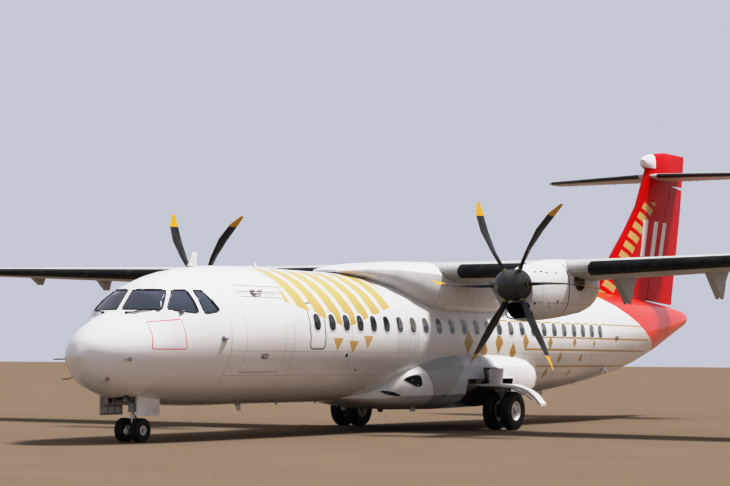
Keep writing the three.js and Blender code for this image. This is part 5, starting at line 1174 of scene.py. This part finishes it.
red_glass = coloured_glass("red_glass", (0.3, 0.008, 0.006), (0.5, 0.02, 0.015))
green_glass = coloured_glass("green_glass", (0.01, 0.2, 0.07), (0.02, 0.36, 0.12))
for (side, word), light in zip(SIDES, (red_glass, green_glass)):
    wing_tree = tree_of(f"wing_outer_{word}")
    lamp = dome_on(wing_tree, (side * 13.32, -8, 3.79), (0, 1, 0), 0.1, 0.035, 0.035, (side, 0.6, 0))
    sculpted(f"navigation_light_{word}", [lamp], light)
    caps = [disc(*landing(wing_tree, (side * x, y, 6), (0, 0, -1)), 0.055, 0.006) for x, y in FUEL_CAPS]
    sculpted(f"fuel_caps_{word}", caps, lip_metal, smooth=30)
beacon = dome_on(fairing_tree, (0, -3.2, -1), (0, 0, 1), 0.08, 0.06, 0.07, (0, 1, 0))
sculpted("belly_beacon", [beacon], red_glass)

wick_black = mottled("wick_black", 60, ((0.015, 0.015, 0.015), (0.05, 0.048, 0.045)), (0.5, 0.7), 50, 0.08)
for name, places in WICKS:
    hinge_tree = tree_of(name)
    low, high = heights_of(name)
    shapes = []
    for place in places:
        starts = [(0, 20, place)]
        if name != "rudder":
            starts = [(place, 20, low + (high - low) * k / 50) for k in range(1, 50)]
        hits = [hinge_tree.ray_cast(Vector(s), Vector((0, -1, 0)))[0] for s in starts]
        edge = max((h for h in hits if h), key=lambda h: h.y)
        shapes.append(tube([edge + Vector((0, back, 0)) for back in WICK_BACK], WICK_RADII, 8))
    sculpted(f"wicks_{name}", shapes, wick_black, name)

# Door and cowl hardware. Flush handles in pressed pans, latches along the cowl's lower joint, ribs
# riveted inside the doors' skins, and treads between rails on the drop-down door.
# Columns: door, station and height of its handle, and stations of its inner ribs.
DOOR_FITTINGS = (("cargo_door", 3.97, 1.62, (3.5, 3.82, 4.14, 4.45)),
                 ("passenger_door", 19.95, 2.16, (19.66, 20.24)))
PLATE_LAYERS = ((1.0, -0.004), (1.0, 0.0025), (0.95, 0.004), (0.5, 0.0045), (0.05, 0.0045))
GRIP = ((-0.075, 0.009), (-0.03, 0.012), (0.03, 0.012), (0.075, 0.009))
# Latches as y and z, half width and half height, and static ports as station, height, radius.
COWL_LATCHES = [(y, 2.78, 0.035, 0.016) for y in (-4.05, -3.72, -3.4, -3.1)]
COWL_LATCHES += [(y, 3.42, 0.03, 0.014) for y in (-4.05, -3.72, -3.4)]
STATIC_PORTS = ((6.86, 1.65, 0.035), (7.4, 1.35, 0.02))
# A trim tab's rod fairing: y, z, radius.
TRIM_ROD = ((12.9, 6.85, 0.012), (13.02, 6.85, 0.034), (13.16, 6.815, 0.026), (13.2, 6.808, 0.008))
TREAD_HEIGHTS = (1.52, 1.78, 2.04, 2.3, 2.56)
TREAD_LAYERS = ((0.97, -0.014), (1, -0.01), (1, 0.01), (0.97, 0.014))
# The treads lie flat when the door has dropped, which turns it by this much.
DOOR_DROP = math.radians(110)
TREAD_DEEP = Vector((math.cos(DOOR_DROP), 0, math.sin(DOOR_DROP)))
TREAD_UP = Vector((-math.sin(DOOR_DROP), 0, math.cos(DOOR_DROP)))
RAIL_HEIGHTS = [1.5 + 0.11 * k for k in range(11)]


def round_plate(tree, side, station, z, half_long, half_tall):
    return loft([[beside(tree, side, station + a * share, z + b * share, lift)[0]
                  for a, b in oval(half_long, half_tall, 5, 28)] for share, lift in PLATE_LAYERS])


def inner_line(tree, y, heights, inward):
    """Points up the inside of a door's skin, moved inward from it."""
    hits = [tree.ray_cast(Vector((0, y, z)), Vector((1, 0, 0)))[0] for z in heights]
    return [h - Vector((inward, 0, 0)) for h in hits if h]


pan_metal = streaked("pan_metal", (0.42, 0.42, 0.41), (0.2, 0.18, 0.15), 0.5, 20, (0.35, 0.55), 25, 0.06,
                     Metallic=0.3)
liner = streaked("door_liner", LINING, (0.25, 0.24, 0.22), 0.3, 8, (0.5, 0.7), 12, 0.06)
for door, station, z, ribs in DOOR_FITTINGS:
    door_tree = tree_of(door)
    grip = [beside(door_tree, 1, station + along, z, 0.012)[0] for along, _ in GRIP]
    shapes = [round_plate(door_tree, 1, station, z, 0.11, 0.055), tube(grip, [radius for _, radius in GRIP])]
    sculpted(f"{door}_handle", shapes, pan_metal, door, 30)
    low, high = heights_of(door)
    heights = [low + 0.06 + (high - low - 0.3) * k / 12 for k in range(13)]
    shapes = [tube(inner_line(door_tree, NOSE_Y + s, heights, 0.004), 0.022, 8) for s in ribs]
    for height in TREAD_HEIGHTS if door == "passenger_door" else ():
        middle = inner_line(door_tree, NOSE_Y + station, [height], 0.11)[0]
        shapes.append(loft([[middle + TREAD_DEEP * a * grow + Vector((0, b * grow, 0)) + TREAD_UP * rise
                             for a, b in oval(0.1, 0.25, 7, 32)] for grow, rise in TREAD_LAYERS]))
        for across in (-0.2, 0.2):
            shapes.append(tube([middle + Vector((x, across, 0)) for x in (0.0, 0.115)], 0.012, 10))
    sculpted(f"{door}_ribs", shapes, liner, door, 30)
rails = []
for across in (-0.27, 0.27):
    line = inner_line(door_tree, NOSE_Y + station + across, RAIL_HEIGHTS, 0.17)
    rails.append(tube(line, 0.013))
    rails += [tube([line[k], line[k] + Vector((0.175, 0, 0))], 0.011, 10) for k in (0, 5, len(line) - 1)]
sculpted("passenger_door_rails", rails, chrome, "passenger_door")
for side, word in SIDES:
    cowl_tree = tree_of(f"nacelle_{word}")
    latches = [round_plate(cowl_tree, side, y - NOSE_Y, z, *half) for y, z, *half in COWL_LATCHES]
    sculpted(f"cowl_latches_{word}", latches, lip_metal, smooth=30)
    # The static ports are round plates in the near black of painted shade.
    ports = [round_plate(cabin_tree, side, s, z, radius, radius) for s, z, radius in STATIC_PORTS]
    sculpted(f"static_ports_{word}", ports, throat_shade, smooth=30)
    trim = tube([(side * 0.62, y, z) for y, z, _ in TRIM_ROD], [radius for *_, radius in TRIM_ROD], 14)
    sculpted(f"trim_fairing_{word}", [trim], gear_finish, f"elevator_{word}")

# Stage: floor, light and the camera. The sun is hidden from glossy rays, so that it doesn't whiten the
# panes, and the film has a soft toe below the mid tones and a soft shoulder above white.
FLOOR_SIZE = 400
SKY_LIGHT = (0.565, 0.578, 0.658, 1)
SUN_STRENGTH, SUN_WIDTH, SUN_FROM = 4.7, 9, (0.34, 0.43, 1.0)
FILM_TOP, FILM_WHITE = 2.6, 0.96
FILM_RESPONSE = ((0.04, 0.02), (0.1, 0.065), (0.2, 0.145), (0.35, 0.3), (0.6, 0.6), (0.85, 0.8), (1.2, 0.885),
                 (1.8, 0.93))
# The camera's place, then its yaw, pitch and roll in degrees, and its lens.
CAMERA_PLACE = (24.2742, -42.2003, 1.5935)
CAMERA_TURNS = (-32.352, 3.2166, 0.3646)
CAMERA_LENS = 101.16

corners = [(x * FLOOR_SIZE, y * FLOOR_SIZE, 0) for x, y in ((-1, -1), (1, -1), (1, 1), (-1, 1))]
floor = placed("floor", mesh_of("floor", [(corners, [(0, 1, 2, 3)])]))
floor.data.materials.append(mottled("pale_floor", 0.4, ((0.2, 0.151, 0.107), (0.228, 0.173, 0.125)),
                                    (0.8, 0.95), 4, 0.02, Specular_IOR_Level=0.0))

scene = bpy.context.scene
scene.world = bpy.data.worlds.new("soft_sky")
scene.world.use_nodes = True
scene.world.node_tree.nodes["Background"].inputs["Color"].default_value = SKY_LIGHT
sun = placed("key_light", bpy.data.lights.new("key_light", "SUN"))
sun.data.energy = SUN_STRENGTH
sun.data.angle = math.radians(SUN_WIDTH)
sun.visible_glossy = False
sun.rotation_euler = Vector(SUN_FROM).to_track_quat("Z", "Y").to_euler()
scene.view_settings.view_transform = "Standard"
scene.view_settings.use_curve_mapping = True
film = scene.view_settings.curve_mapping
film.white_level = (FILM_TOP, FILM_TOP, FILM_TOP)
for light, shown in FILM_RESPONSE:
    film.curves[3].points.new(light / FILM_TOP, shown)
film.curves[3].points[-1].location = (1, FILM_WHITE)
film.update()

yaw, pitch, roll = [math.radians(turn) for turn in CAMERA_TURNS]
forward = Vector((math.sin(yaw) * math.cos(pitch), math.cos(yaw) * math.cos(pitch), math.sin(pitch)))
level = Vector((math.cos(yaw), -math.sin(yaw), 0))
above = level.cross(forward)
right = level * math.cos(roll) + above * math.sin(roll)
up = above * math.cos(roll) - level * math.sin(roll)
camera = placed("camera", bpy.data.cameras.new("camera"))
camera.data.lens = CAMERA_LENS
camera.data.sensor_width = 36
camera.data.clip_end = 2000
camera.matrix_world = Matrix.Translation(CAMERA_PLACE) @ Matrix((right, up, -forward)).transposed().to_4x4()
scene.camera = camera
